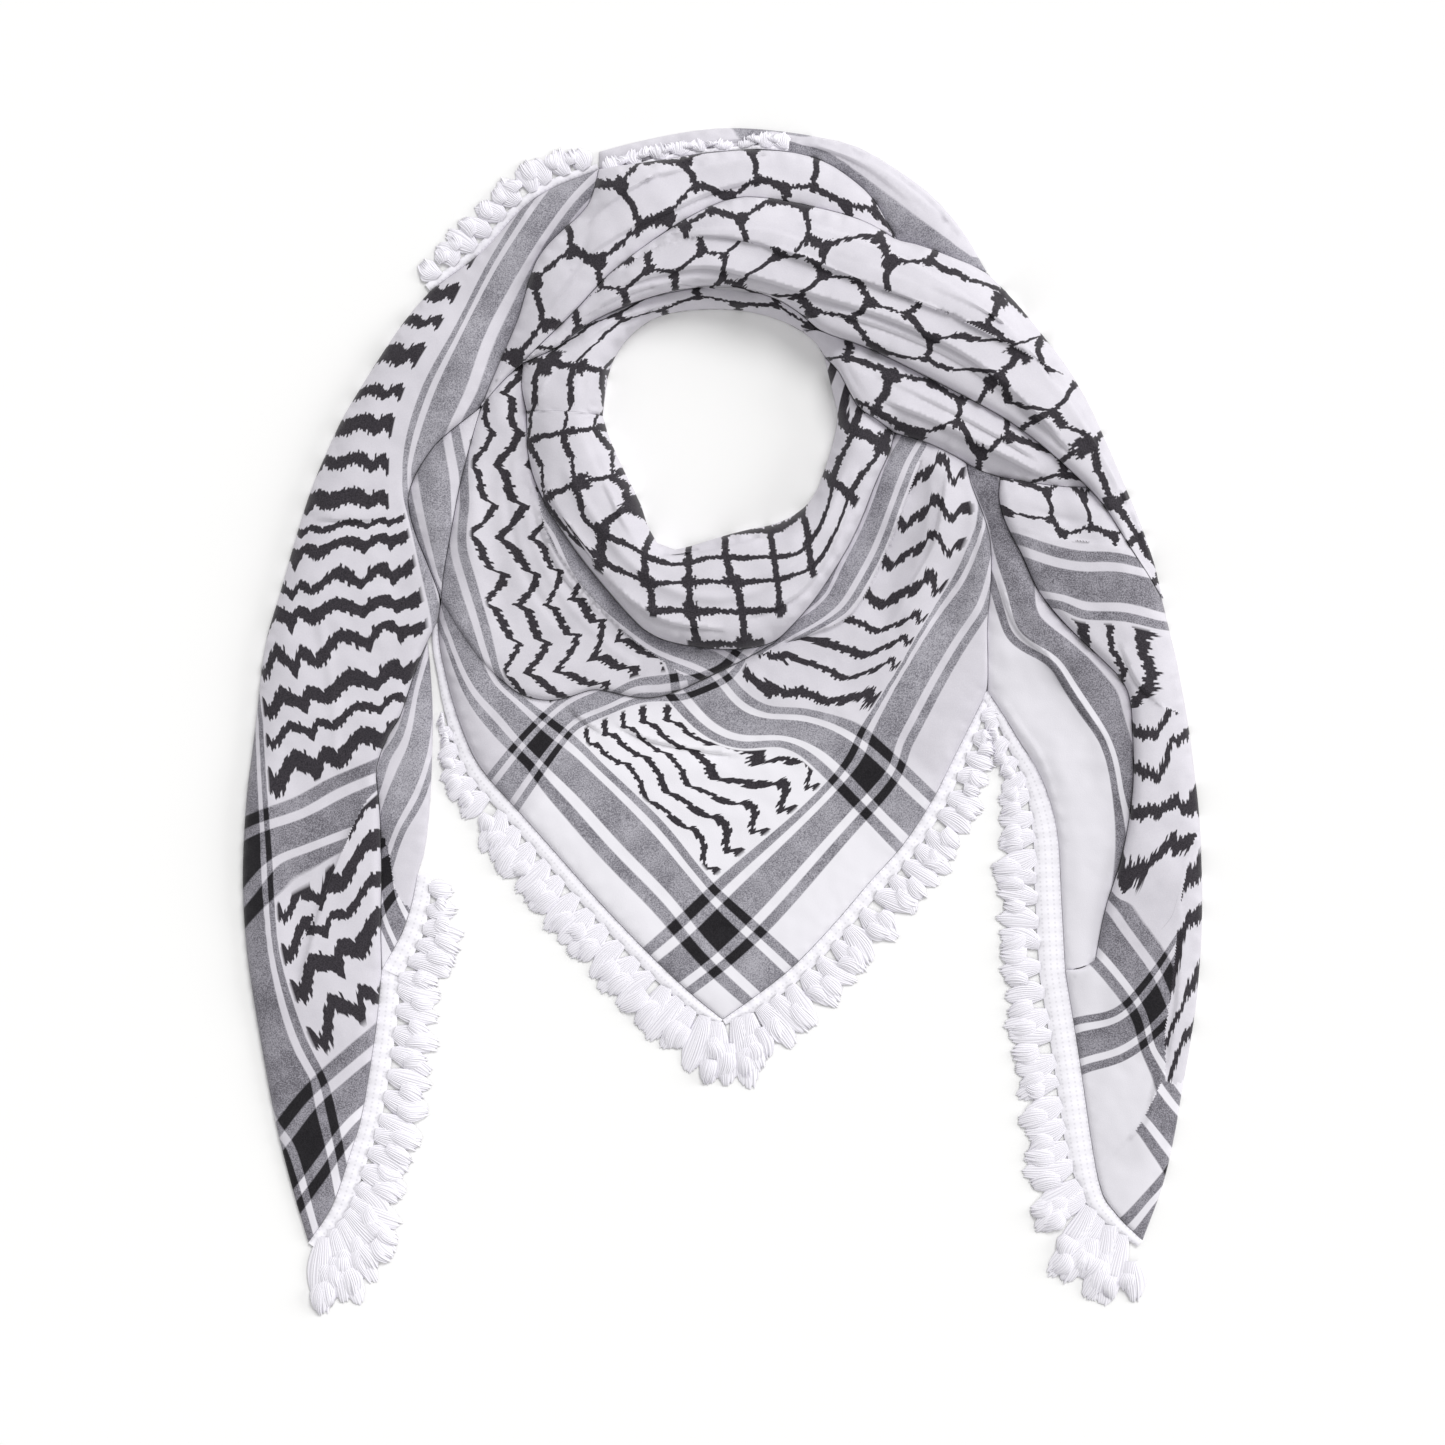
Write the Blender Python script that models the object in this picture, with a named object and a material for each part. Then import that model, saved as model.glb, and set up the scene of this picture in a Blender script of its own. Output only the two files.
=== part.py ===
"""Keffiyeh headscarf, folded to a triangle, wound once round the neck and laid flat.

Frame: metres, +Z up, the scarf lies on z = 0. The origin is the middle of the
footprint, +Y points to the back of the neck and -Y to the point of the bib.
Tables are in millimetres; MM turns them into metres.

Each stretch of cloth that shows is one closed solid: a flat underside, and a top
that is worked out from a few crest heights, the roles of its edges and its folds.
Neighbouring stretches share a named seam line and stay GAP apart along it.
"""
import math
import random

import bmesh
import bpy
import numpy as np
from mathutils.geometry import delaunay_2d_cdt

MM = 0.001
GAP = 0.3                # clear gap between two stretches
RIM = 2.0                # height of a free edge: two layers of cloth
LEDGE = 1.6              # how far the lower layer shows beyond the upper at a free edge
LAYER = 1.5              # height of the upper layer's own edge above that ledge
SEAM_STEP = 10.0         # spacing of points along a seam
FIELD_STEP = 12.0        # spacing of points inside a stretch
FOLD_STEP = 9.0          # spacing of points along a fold
FIELD_CLEAR = 6.5        # least distance of a field point from the rows beside edges and folds
ROW_CLEAR = 2.2          # least distance of a row's points from the others
EDGE_CLEAR = 1.3         # least distance of any inner point from the edge
LEDGE_ROW = (1.5, 0.6)   # how far inside a free edge its ledge's row lies, and its clearance
EDGE_ROWS = ((2.2, 0.6), (7.5, ROW_CLEAR))    # the same for the rows inside every edge
FOLD_ROW = (0.6, 1.0)    # how far each side of a fold its rows lie, and their clearance
FOLD_SHARE = 0.9         # where a fold's outer row lies, as a share of the fold's spread
CURVE_STEPS = 12         # steps between two given points of a line
MITRE_LIMIT = 0.35       # keeps a sharp corner's mitre short
JOIN_TOLERANCE = 1e-6    # seams that end this close meet there
PLAN_TOLERANCE = 1e-4    # points this close in plan are one

# ---------------------------------------------------------------- seam lines
# Each seam is a smooth line through its points, x and y.
SEAMS = {
    "contour_left": [
        (-147, 213), (-159, 199), (-172, 180), (-182, 164), (-191.5, 148), (-199.5, 130.5),
        (-207.5, 111), (-215.5, 85), (-222, 62), (-230, 34), (-234.5, -5), (-239, -40),
        (-241, -75), (-240.5, -100), (-238, -127), (-231.5, -167), (-224, -207), (-215, -242),
        (-208, -265)],
    "hem_top_left": [(-147, 213), (-121, 232.5), (-102, 253), (-86, 264.5), (-62, 274)],
    "net_fold": [
        (-62, 274), (-67, 255), (-84, 239), (-94, 226), (-102, 199), (-110, 180), (-121, 154)],
    "flip_fold": [(-121, 154), (-137, 141.5), (-145, 134), (-155, 118.5)],
    "turn_left": [(-155, 118.5), (-158, 111), (-155, 94), (-147, 74), (-141, 58)],
    "turn_right": [(-141, 58), (-139.5, 72), (-134.5, 99), (-130.5, 119), (-121, 154)],
    "tail_over_bib": [(-141, 58), (-143, 46)],
    "tail_over_fringe": [(-143, 46), (-148, 37)],
    "tail_left_inner": [
        (-148, 37), (-153, 25), (-158, 10), (-161, 0), (-168, -11), (-174, -28), (-172, -45),
        (-171, -80), (-171.5, -105), (-171, -128)],
    "hem_left_tail": [
        (-171, -128), (-174, -158), (-179, -190), (-182, -205), (-188, -224), (-196, -247),
        (-208, -265)],
    "inner_side": [
        (-148, 37), (-146.5, 22), (-145.5, 5), (-145.5, -12), (-146.5, -40), (-149, -66),
        (-153, -80)],
    "hem_inner": [(-153, -80), (-156, -95), (-161, -110), (-171, -128)],
    "outer_edge_low": [(-121, 154), (-111, 166), (-100, 176)],
    "outer_edge_high": [
        (-100, 176), (-84.5, 191), (-71, 204), (-57, 219), (-28, 241), (-5, 254), (12, 258.5),
        (45, 253.5), (69, 247), (87, 238)],
    "back_low": [
        (-62, 274), (-40, 276.5), (-10, 281), (15, 283), (38, 281.5), (52, 277), (64, 269),
        (76, 258), (87, 238)],
    "back_low_right": [(87, 238), (100, 234.5), (112, 230), (133, 222)],
    "back_end": [(-62, 274), (-62, 283)],
    "contour_back": [
        (-62, 283), (-45, 287.5), (-21, 292.5), (3, 295), (28, 293.5), (50, 290), (70, 284.5),
        (97, 267.5), (110, 256), (122, 241), (133, 222)],
    "contour_winding": [
        (133, 222), (146, 208.5), (159, 193), (171, 177.5), (182, 160), (191, 141),
        (200.5, 119), (210, 96), (217, 76), (221, 58)],
    "winding_tuck": [(183, 114), (192, 103), (200, 90), (207, 79), (221, 58)],
    "contour_right": [
        (221, 58), (224.5, 42), (228, 28), (234, -5), (237, -28), (239.5, -50), (241, -85),
        (240.5, -115), (238, -145), (235, -165), (231, -188), (227, -212), (221, -237),
        (211, -264)],
    "middle_low": [
        (-100, 176), (-81, 184), (-71, 193), (-58, 200), (-46, 205), (-31, 210), (-5, 214),
        (12, 212), (27, 208), (40, 200), (47, 193)],
    "middle_right": [
        (47, 193), (58, 188), (74, 182.5), (107, 166), (132, 153), (145.5, 145),
        (162, 132.5), (183, 114)],
    "swag_top": [(-100, 176), (-101, 166), (-98, 152)],
    "roll_cut": [(-98, 152), (-60, 150)],
    "roll_left": [
        (-98, 152), (-97, 128), (-90.5, 109), (-79.5, 91), (-66, 72.5), (-41, 44), (-28, 37),
        (-4.5, 33), (15.5, 33.5), (27, 37)],
    "roll_right": [
        (27, 37), (36, 46), (47, 59), (62, 82.5), (70, 99), (77, 117.5), (83.5, 131),
        (86, 141)],
    "roll_under": [(86, 141), (79, 146.5), (70, 151), (64, 158), (61, 168), (51, 180)],
    "lip_end": [(40, 192.5), (47, 193)],
    "hole_top": [
        (40, 192.5), (27, 199), (9, 203), (-11, 203.5), (-29, 201), (-41, 195), (-50, 186),
        (-57, 172), (-60, 150)],
    "hole_front": [
        (-60, 150), (-57, 140), (-51, 126), (-41, 106), (-35, 89), (-24, 83), (-4.5, 88.5),
        (12, 93), (27, 96), (40, 103), (47, 112), (52, 126), (56, 139), (58, 151), (55, 162),
        (51, 180)],
    "hole_right": [(51, 180), (48, 186), (40, 192.5)],
    "lower_bib": [(86, 141), (97, 138), (109, 133.5), (122, 126)],
    "lower_pinch": [(122, 126), (129, 122), (139, 119)],
    "lower_tail": [(139, 119), (159, 115.5), (171, 114), (183, 114)],
    "swag_join": [(-141, 58), (-131, 42), (-121, 28), (-111, 18)],
    "swag_edge": [
        (-111, 18), (-103, 11), (-92, 7.5), (-81, 7.5), (-69, 12), (-61, 13.5), (-49, 9.5),
        (-34, 8.5), (-21, 12.5), (-11, 17.5), (2.5, 23.5), (15, 30), (27, 37)],
    "pinch": [
        (122, 126), (124, 116), (131, 99), (134, 88), (134.5, 70), (132.5, 45), (133, 28),
        (133, 12)],
    "hem_bib_right": [
        (133, 12), (121, -12), (113.5, -27), (106, -42), (91, -65), (74, -84), (57, -104),
        (36, -126), (17, -141), (0, -153)],
    "hem_bib_left": [
        (-143, 46), (-142, 34), (-139, 20), (-135, 5), (-129, -12), (-121, -27.5),
        (-101, -50), (-81, -72.5), (-61, -95), (-37, -120), (-17, -139), (0, -153)],
    "right_fold": [
        (139, 119), (138, 107), (143, 93), (150, 80), (158, 62), (173, 44), (191, 27),
        (203, 13), (205.5, -10), (205.5, -40), (200, -72), (192, -97), (187, -123)],
    "margin_cut": [(187, -123), (180, -127), (172, -128)],
    "hem_right_inner": [
        (172, -128), (170, -90), (168.5, -62), (165, -45), (158, -27), (150, -15), (141, 0),
        (133, 12)],
    "hem_right_tail": [(172, -128), (178.5, -168.5), (188.5, -233), (197, -250), (211, -264)],
}

# How each kind of edge shapes the cloth beside it: the share of the crest height
# that is left at the edge, and how far in the rounding reaches.
EDGE_ROLES = {
    "free": (None, 16.0),    # rests on the floor, RIM high
    "hole": (None, 13.0),    # rolls down into the neck hole, RIM high
    "hem": (None, 9.0),      # flat selvedge, RIM high
    "over": (0.86, 7.0),     # laps over its neighbour and stands higher
    "roll": (0.42, 18.0),    # rolls down on to a neighbour that lies lower
    "under": (0.60, 12.0),   # dips under its neighbour
    "join": (1.0, 1.0),      # runs on into its neighbour
}
CREST_BLEND = 6.0        # how softly one crest's height gives way to the next
LAP_DIP = 0.35           # how deep the cloth dips at the foot of a lap, as a share of the lap
LAP_DIP_RATE = 3.0       # how much faster that dip dies away than the lap
FOLD_FADE = 1.5          # a fold dies out over this many spreads at its ends

# Each stretch: its seams in order round it (a leading "-" walks one backwards) with
# the role of each, then its crests: x, y and the height of the heap there.
STRETCHES = {
    "left_tail_front": {
        "edges": [("hem_top_left", "hem"), ("net_fold", "under"), ("flip_fold", "over"),
                  ("turn_left", "over"), ("tail_over_bib", "over"),
                  ("tail_over_fringe", "over"), ("tail_left_inner", "over"),
                  ("hem_left_tail", "hem"), ("-contour_left", "free")],
        "crests": [(-135, 215, 10), (-90, 250, 13), (-135, 175, 16), (-165, 140, 15),
                   (-190, 80, 14), (-195, 20, 13), (-205, -50, 11), (-207, -120, 9),
                   (-203, -190, 7), (-203, -245, 4)]},
    "left_tail_turn": {
        "edges": [("flip_fold", "under"), ("turn_left", "under"), ("turn_right", "over")],
        "crests": [(-136, 138, 15), (-145, 105, 14), (-141, 72, 12)]},
    "left_tail_inner": {
        "edges": [("tail_left_inner", "under"), ("-hem_inner", "hem"), ("-inner_side", "free")],
        "crests": [(-151, 20, 8), (-156, -30, 8), (-163, -100, 5)]},
    "bib_swag": {
        "edges": [("outer_edge_low", "under"), ("swag_top", "under"), ("roll_left", "under"),
                  ("-swag_edge", "over"), ("-swag_join", "join"), ("turn_right", "under")],
        "crests": [(-110, 155, 17), (-112, 100, 15), (-105, 50, 11), (-75, 45, 12),
                   (-60, 22, 8), (-10, 26, 10)]},
    "bib_panel": {
        "edges": [("swag_join", "join"), ("swag_edge", "under"), ("roll_right", "under"),
                  ("lower_bib", "under"), ("pinch", "over"), ("hem_bib_right", "hem"),
                  ("-hem_bib_left", "hem"), ("-tail_over_bib", "under")],
        "crests": [(-120, 20, 9), (-70, -30, 5), (0, -10, 7), (0, -100, 4), (60, -60, 4.5),
                   (50, 20, 9), (80, 60, 12), (100, 20, 9), (105, 110, 18)]},
    "front_roll": {
        "edges": [("hole_front", "hole"), ("-roll_under", "under"), ("-roll_right", "roll"),
                  ("-roll_left", "roll"), ("roll_cut", "join")],
        "crests": [(-78, 140, 25), (-62, 95, 26), (-30, 62, 27), (0, 60, 28), (40, 78, 27),
                   (66, 115, 26), (70, 145, 25)]},
    "inner_winding": {
        "edges": [("middle_low", "under"), ("-lip_end", "join"), ("hole_top", "hole"),
                  ("-roll_cut", "join"), ("-swag_top", "roll")],
        "crests": [(-78, 165, 25), (-60, 185, 24), (-30, 206, 22), (10, 208, 21),
                   (38, 197, 21)]},
    "middle_winding": {
        "edges": [("outer_edge_high", "under"), ("back_low_right", "roll"),
                  ("contour_winding", "free"), ("-winding_tuck", "over"),
                  ("-middle_right", "over"), ("-middle_low", "over")],
        "crests": [(-80, 190, 26), (-40, 220, 29), (10, 235, 31), (70, 220, 31),
                   (120, 195, 29), (160, 160, 26), (190, 120, 22), (212, 75, 16)]},
    "lower_winding": {
        "edges": [("middle_right", "under"), ("-lower_tail", "roll"), ("-lower_pinch", "roll"),
                  ("-lower_bib", "roll"), ("roll_under", "over"), ("hole_right", "hole"),
                  ("lip_end", "join")],
        "crests": [(60, 178, 25), (95, 158, 27), (130, 138, 26), (165, 122, 22)]},
    "outer_winding": {
        "edges": [("-net_fold", "roll"), ("back_low", "roll"), ("-outer_edge_high", "over"),
                  ("-outer_edge_low", "over")],
        "crests": [(-112, 172, 21), (-85, 215, 25), (-45, 250, 26), (10, 270, 23),
                   (60, 262, 20)]},
    "back_edge": {
        "edges": [("back_end", "hem"), ("contour_back", "free"), ("-back_low_right", "under"),
                  ("-back_low", "under")],
        "crests": [(-40, 284, 7), (20, 290, 8), (80, 268, 12), (115, 236, 12)]},
    "right_tail_front": {
        "edges": [("lower_tail", "under"), ("winding_tuck", "under"), ("contour_right", "free"),
                  ("-hem_right_tail", "hem"), ("-margin_cut", "join"), ("-right_fold", "over")],
        "crests": [(150, 105, 18), (185, 95, 18), (185, 60, 16), (215, 20, 15),
                   (220, -60, 13), (215, -140, 10), (185, -160, 5), (215, -210, 7),
                   (195, -220, 4.5), (207, -250, 4)]},
    "right_tail_inner": {
        "edges": [("lower_pinch", "under"), ("right_fold", "under"), ("margin_cut", "join"),
                  ("hem_right_inner", "hem"), ("-pinch", "under")],
        "crests": [(131, 115, 18), (145, 75, 15), (165, 35, 12), (190, 0, 11),
                   (155, 5, 5), (180, -60, 6), (180, -110, 5)]},
}

# Folds: the stretch they lie in, lap (one side steps up), ridge or trough, the
# height, how far it spreads, then the points that its line runs through.
FOLDS = [
    ("outer_winding", "lap", 3.5, 10, [(-50, 262), (-25, 270), (0, 275), (22, 279)]),
    ("outer_winding", "trough", 3.0, 6, [(-14, 252), (8, 263), (33, 271), (48, 272)]),
    ("outer_winding", "trough", 2.5, 7, [(-62, 240), (-80, 222), (-92, 200), (-104, 178)]),
    ("middle_winding", "lap", 5.0, 12, [(-58, 214), (-36, 231), (-11, 237), (19, 233),
                                        (74, 213), (114, 198), (160, 175)]),
    ("middle_winding", "lap", 5.0, 12, [(-62, 206), (-41, 216), (-11, 222), (15, 217),
                                        (45, 208), (80, 197), (110, 184), (135, 168),
                                        (168, 138)]),
    ("middle_winding", "trough", 3.5, 5, [(-30, 239), (-8, 246), (20, 248), (60, 241)]),
    ("middle_winding", "trough", 3.0, 6, [(150, 190), (175, 160), (192, 128), (206, 95)]),
    ("lower_winding", "trough", 2.5, 6, [(75, 176), (100, 160), (128, 146), (158, 126)]),
    ("inner_winding", "trough", 3.5, 6, [(-90, 162), (-82, 174), (-68, 186), (-45, 200)]),
    ("inner_winding", "ridge", 2.0, 5, [(-66, 158), (-64, 172), (-56, 186)]),
    ("front_roll", "trough", 3.0, 7, [(-86, 132), (-74, 104), (-52, 76), (-25, 54),
                                      (5, 50), (30, 58)]),
    ("front_roll", "trough", 2.0, 5, [(-66, 128), (-52, 100), (-40, 80), (-22, 72),
                                      (5, 76), (35, 88)]),
    ("front_roll", "trough", 2.5, 6, [(58, 92), (66, 112), (72, 132)]),
    ("bib_swag", "trough", 2.5, 6, [(-112, 150), (-116, 110), (-112, 70), (-108, 40)]),
    ("bib_swag", "lap", 3.5, 8, [(-94, 125), (-88, 92), (-72, 66), (-50, 42), (-34, 30)]),
    ("bib_swag", "ridge", 2.0, 6, [(-126, 128), (-126, 90), (-122, 50)]),
    ("bib_panel", "trough", 1.4, 5, [(-80, 3), (-70, -4), (-58, -11)]),
    ("bib_panel", "trough", 1.6, 5, [(-52, -6), (-36, -13), (-11, -18), (15, -20)]),
    ("bib_panel", "trough", 3.5, 5, [(98, 132), (96, 105), (88, 75), (76, 45)]),
    ("bib_panel", "ridge", 3.0, 6, [(110, 128), (111, 100), (102, 68), (90, 40)]),
    ("bib_panel", "trough", 3.5, 5, [(118, 122), (120, 98), (114, 70), (102, 40)]),
    ("bib_panel", "ridge", 1.6, 6, [(8, 22), (25, 8), (50, 8), (70, -2)]),
    ("right_tail_inner", "trough", 4.0, 4, [(127, 118), (131, 108), (137, 94), (138, 72)]),
    ("right_tail_inner", "ridge", 2.5, 7, [(144, 88), (150, 62), (165, 40), (186, 18)]),
    ("right_tail_inner", "trough", 2.0, 6, [(140, 46), (156, 30), (176, 0), (190, -40)]),
    ("right_tail_front", "trough", 2.5, 6, [(168, 108), (175, 95), (190, 86)]),
    ("right_tail_front", "lap", 2.5, 8, [(198, 36), (207, 16), (222, 2)]),
    ("right_tail_front", "trough", 2.0, 6, [(229, 20), (225, -20), (229, -80)]),
    ("right_tail_front", "trough", 1.4, 6, [(196, -136), (188, -165), (188, -200)]),
    ("right_tail_front", "ridge", 1.5, 6, [(216, -176), (216, -196), (206, -226)]),
    ("left_tail_front", "ridge", 2.0, 9, [(-80, 258), (-112, 212), (-130, 172), (-148, 132)]),
    ("left_tail_front", "lap", 1.8, 6, [(-206, 98), (-190, 97), (-170, 97)]),
    ("left_tail_front", "trough", 1.2, 5, [(-160, 94), (-161, 74), (-165, 54)]),
    ("left_tail_front", "lap", 2.0, 8, [(-180, -42), (-190, -66), (-202, -98), (-213, -138)]),
    ("left_tail_front", "ridge", 1.6, 7, [(-232, -20), (-232, -80), (-226, -140)]),
    ("left_tail_turn", "ridge", 1.5, 6, [(-141, 128), (-145, 104), (-144, 84)]),
    ("left_tail_inner", "trough", 1.2, 5, [(-153, 14), (-157, -10), (-164, -40)]),
    ("back_edge", "lap", 2.0, 8, [(-30, 285), (10, 289), (60, 280), (100, 252)]),
]

# Fringe: the tape that carries it lies along a hem. Columns of a row: the share of the
# way along the hem, the tape's width, the length of the locks there, and the angle in
# degrees that they lean, counter-clockwise, from straight out.
HEM_STEPS = (3.0, 1.0)   # point spacing along each hem, then along the hems joined
LOCK_PITCH = 12.4        # one lock for each loop of the fringe
LOCK_SHIFT = 0.15        # how far each gap between locks moves on, in pitches
LOCK_SHORTEST = 0.94     # each lock is this share of its full length or more
SEED = 7
LOCK_BASE = 0.5          # lowest point of the fringe above the floor
LOCK_HEIGHT = 2.4
TAPE_HEIGHT = 3.0
SHORT_LOCK = 4.0         # where the fringe is shorter than this only the tape shows
LOCK_SPREAD = 1.35       # widest lock, in pitches, where they fan out round a corner
LOCK_RINGS = [           # share of the length, share of the room, how far the end closes in
    (0.30, 0.66, 0.0), (0.78, 0.92, 0.0), (1.0, 0.50, 0.5)]
FRINGES = {
    "fringe_top_left": {
        "hems": ["hem_top_left"], "side": 1, "start": 3, "end": 2,
        "rows": [(0.00, 4, 10, 0), (0.30, 4, 15, 0), (0.85, 4, 13, 0), (1.00, 3, 8, 0)]},
    "fringe_left_tail": {
        "hems": ["hem_inner", "hem_left_tail"], "side": 1, "start": 1, "end": 0.5,
        "rows": [(0.00, 7, 8, 0), (0.08, 9, 13, 0), (0.15, 10, 20, 0), (0.60, 10, 21, 0),
                 (0.75, 9, 22, -6), (0.85, 9, 25, -22), (0.94, 7, 37, -45),
                 (1.00, 4, 30, -60)]},
    "fringe_bib_left": {
        "hems": ["hem_bib_left"], "side": -1, "start": 26, "end": 0.5,
        "rows": [(0.00, 3, 2, 0), (0.10, 4, 2, 0), (0.21, 6, 5, 0), (0.29, 7, 12, 0),
                 (0.40, 7, 20, 0), (0.85, 7, 22, 0), (0.95, 6, 26, 18), (1.00, 3, 34, 34)]},
    "fringe_bib_right": {
        "hems": ["hem_bib_right"], "side": 1, "start": 14, "end": 0.5,
        "rows": [(0.00, 3, 2, 0), (0.07, 4, 3, 0), (0.19, 6, 7, 0), (0.28, 7, 14, 0),
                 (0.42, 7, 20, 0), (0.85, 7, 22, 0), (0.93, 6, 24, -13),
                 (0.97, 4, 38, -26), (1.00, 3, 40, -34)]},
    "fringe_right_tail": {
        "hems": ["-hem_right_inner", "hem_right_tail"], "side": -1, "start": 22, "end": 0.5,
        "rows": [(0.00, 4, 2, 0), (0.07, 5, 2, 0), (0.17, 8, 6, 0), (0.25, 12, 11, 0),
                 (0.34, 13, 20, 0), (0.82, 13, 20, 0), (0.88, 10, 26, 12), (0.94, 7, 40, 28),
                 (1.00, 4, 29, 30)]},
}

COTTON = (0.78, 0.77, 0.80)
FRINGE_COTTON = (0.88, 0.87, 0.90)


def clear_scene():
    for old in list(bpy.data.objects):
        bpy.data.objects.remove(old, do_unlink=True)


def cotton_material(name, colour):
    material = bpy.data.materials.new(name)
    material.use_nodes = True
    shader = material.node_tree.nodes["Principled BSDF"]
    shader.inputs["Base Color"].default_value = (*colour, 1.0)
    shader.inputs["Roughness"].default_value = 0.9
    shader.inputs["Metallic"].default_value = 0.0
    material.diffuse_color = (*colour, 1.0)
    return material


# ---------------------------------------------------------------- plan geometry
def smooth_line(points, step):
    """Even points about `step` apart on a smooth curve through the given ones."""
    points = np.array(points, float)
    if len(points) > 2:
        ends = [2 * points[0] - points[1], 2 * points[-1] - points[-2]]
        padded = np.vstack([ends[0], points, ends[1]])
        fine = []
        for p0, p1, p2, p3 in zip(padded, padded[1:], padded[2:], padded[3:]):
            for t in np.linspace(0, 1, CURVE_STEPS, endpoint=False):
                fine.append(0.5 * (2 * p1 + (p2 - p0) * t
                                   + (2 * p0 - 5 * p1 + 4 * p2 - p3) * t ** 2
                                   + (3 * p1 - p0 - 3 * p2 + p3) * t ** 3))
        fine = np.array(fine + [points[-1]])
    else:
        fine = points
    walk = np.concatenate([[0], np.cumsum(np.linalg.norm(np.diff(fine, axis=0), axis=1))])
    count = max(2, int(round(walk[-1] / step)) + 1)
    even = np.linspace(0, walk[-1], count)
    return np.column_stack([np.interp(even, walk, fine[:, axis]) for axis in (0, 1)])


def seam_points(name, step=SEAM_STEP):
    """Points along a seam; a leading "-" walks it backwards."""
    if name.startswith("-"):
        return smooth_line(SEAMS[name[1:]], step)[::-1]
    return smooth_line(SEAMS[name], step)


def signed_area(loop):
    x, y = loop[:, 0], loop[:, 1]
    return 0.5 * float(np.sum(x * np.roll(y, -1) - y * np.roll(x, -1)))


def chain_loop(names):
    """Join seams into one loop, turning each so that it starts where the last ended."""
    loop = []
    pieces = [seam_points(name) for name in names]
    first = pieces[0]
    second = pieces[1]
    if min(np.linalg.norm(first[-1] - end) for end in (second[0], second[-1])) > JOIN_TOLERANCE:
        first = first[::-1]
    loop.extend(first[:-1])
    end = first[-1]
    for piece in pieces[1:]:
        if np.linalg.norm(piece[0] - end) > JOIN_TOLERANCE:
            piece = piece[::-1]
        loop.extend(piece[:-1])
        end = piece[-1]
    loop = np.array(loop)
    return loop if signed_area(loop) > 0 else loop[::-1]


def inset_loop(loop, distance):
    """Move a counter-clockwise loop inwards by `distance`, mitred at its corners."""
    before = loop - np.roll(loop, 1, axis=0)
    after = np.roll(loop, -1, axis=0) - loop
    before /= np.linalg.norm(before, axis=1, keepdims=True)
    after /= np.linalg.norm(after, axis=1, keepdims=True)
    left_before = np.column_stack([-before[:, 1], before[:, 0]])
    left_after = np.column_stack([-after[:, 1], after[:, 0]])
    mitre = left_before + left_after
    mitre /= np.linalg.norm(mitre, axis=1, keepdims=True)
    stretch = np.sum(mitre * left_before, axis=1).clip(MITRE_LIMIT, 1.0)
    return loop + mitre * (distance / stretch)[:, None]


def distance_to_line(points, line):
    """Distance of each point to a line, and on which side (+1 left, -1 right) it lies."""
    best = np.full(len(points), np.inf)
    side = np.ones(len(points))
    for start, end in zip(line[:-1], line[1:]):
        along = end - start
        length2 = float(along @ along)
        offset = points - start
        share = ((offset @ along) / length2).clip(0, 1)
        gap = np.linalg.norm(offset - share[:, None] * along, axis=1)
        nearer = gap < best
        best[nearer] = gap[nearer]
        cross = along[0] * offset[:, 1] - along[1] * offset[:, 0]
        side[nearer] = np.where(cross[nearer] >= 0, 1.0, -1.0)
    return best, side


def inside_loop(points, loop):
    """Even-odd test of each point against a closed loop."""
    inside = np.zeros(len(points), bool)
    x, y = points[:, 0], points[:, 1]
    for (x0, y0), (x1, y1) in zip(loop, np.roll(loop, -1, axis=0)):
        if y0 == y1:
            continue
        crosses = (y0 > y) != (y1 > y)
        inside ^= crosses & (x < x0 + (y - y0) * (x1 - x0) / (y1 - y0))
    return inside


def offset_line(line, distance):
    """A line moved sideways, to its left where the distance is positive."""
    along = np.gradient(line, axis=0)
    along /= np.linalg.norm(along, axis=1, keepdims=True)
    left = np.column_stack([-along[:, 1], along[:, 0]])
    return line + left * np.reshape(distance, (-1, 1))


# ---------------------------------------------------------------- cloth heights
def crest_height(points, crests):
    """Blend of the crest heights, each weighted by nearness."""
    crests = np.array(crests, float)
    gaps = np.linalg.norm(points[:, None, :] - crests[None, :, :2], axis=2)
    weights = 1.0 / (gaps + CREST_BLEND) ** 3
    return (weights * crests[:, 2]).sum(axis=1) / weights.sum(axis=1)


def fold_profile(kind, height, spread, distance, side):
    """Height that a fold adds at a signed distance from its line."""
    if kind == "lap":
        upper = height * np.exp(-distance / spread)
        lower = -LAP_DIP * height * np.exp(-LAP_DIP_RATE * distance / spread)
        return np.where(side > 0, upper, lower)
    bump = height * np.exp(-(distance / spread) ** 2)
    return bump if kind == "ridge" else -bump


def cloth_height(points, name):
    """Height of the top of a stretch at each point."""
    stretch = STRETCHES[name]
    crest = crest_height(points, stretch["crests"])
    height = crest.copy()
    for fold_stretch, kind, rise, spread, line in FOLDS:
        if fold_stretch == name:
            line = smooth_line(line, FOLD_STEP)
            distance, side = distance_to_line(points, line)
            ends = np.minimum(np.linalg.norm(points - line[0], axis=1),
                              np.linalg.norm(points - line[-1], axis=1))
            fade = (ends / (FOLD_FADE * spread)).clip(0, 1)
            height += fade * fold_profile(kind, rise, spread, distance, side)
    for seam, role in stretch["edges"]:
        share, reach = EDGE_ROLES[role]
        distance, _ = distance_to_line(points, seam_points(seam))
        inward = (distance / reach).clip(0, 1)
        arc = np.sqrt(1 - (1 - inward) ** 2)
        rim_share = np.minimum(RIM / crest, 1.0) if share is None else share
        height *= rim_share + (1 - rim_share) * arc
        if role == "free":
            layered = np.maximum(height, RIM + LAYER)
            height = np.where(distance < LEDGE, RIM, layered)
    return height.clip(RIM, None)


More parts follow.
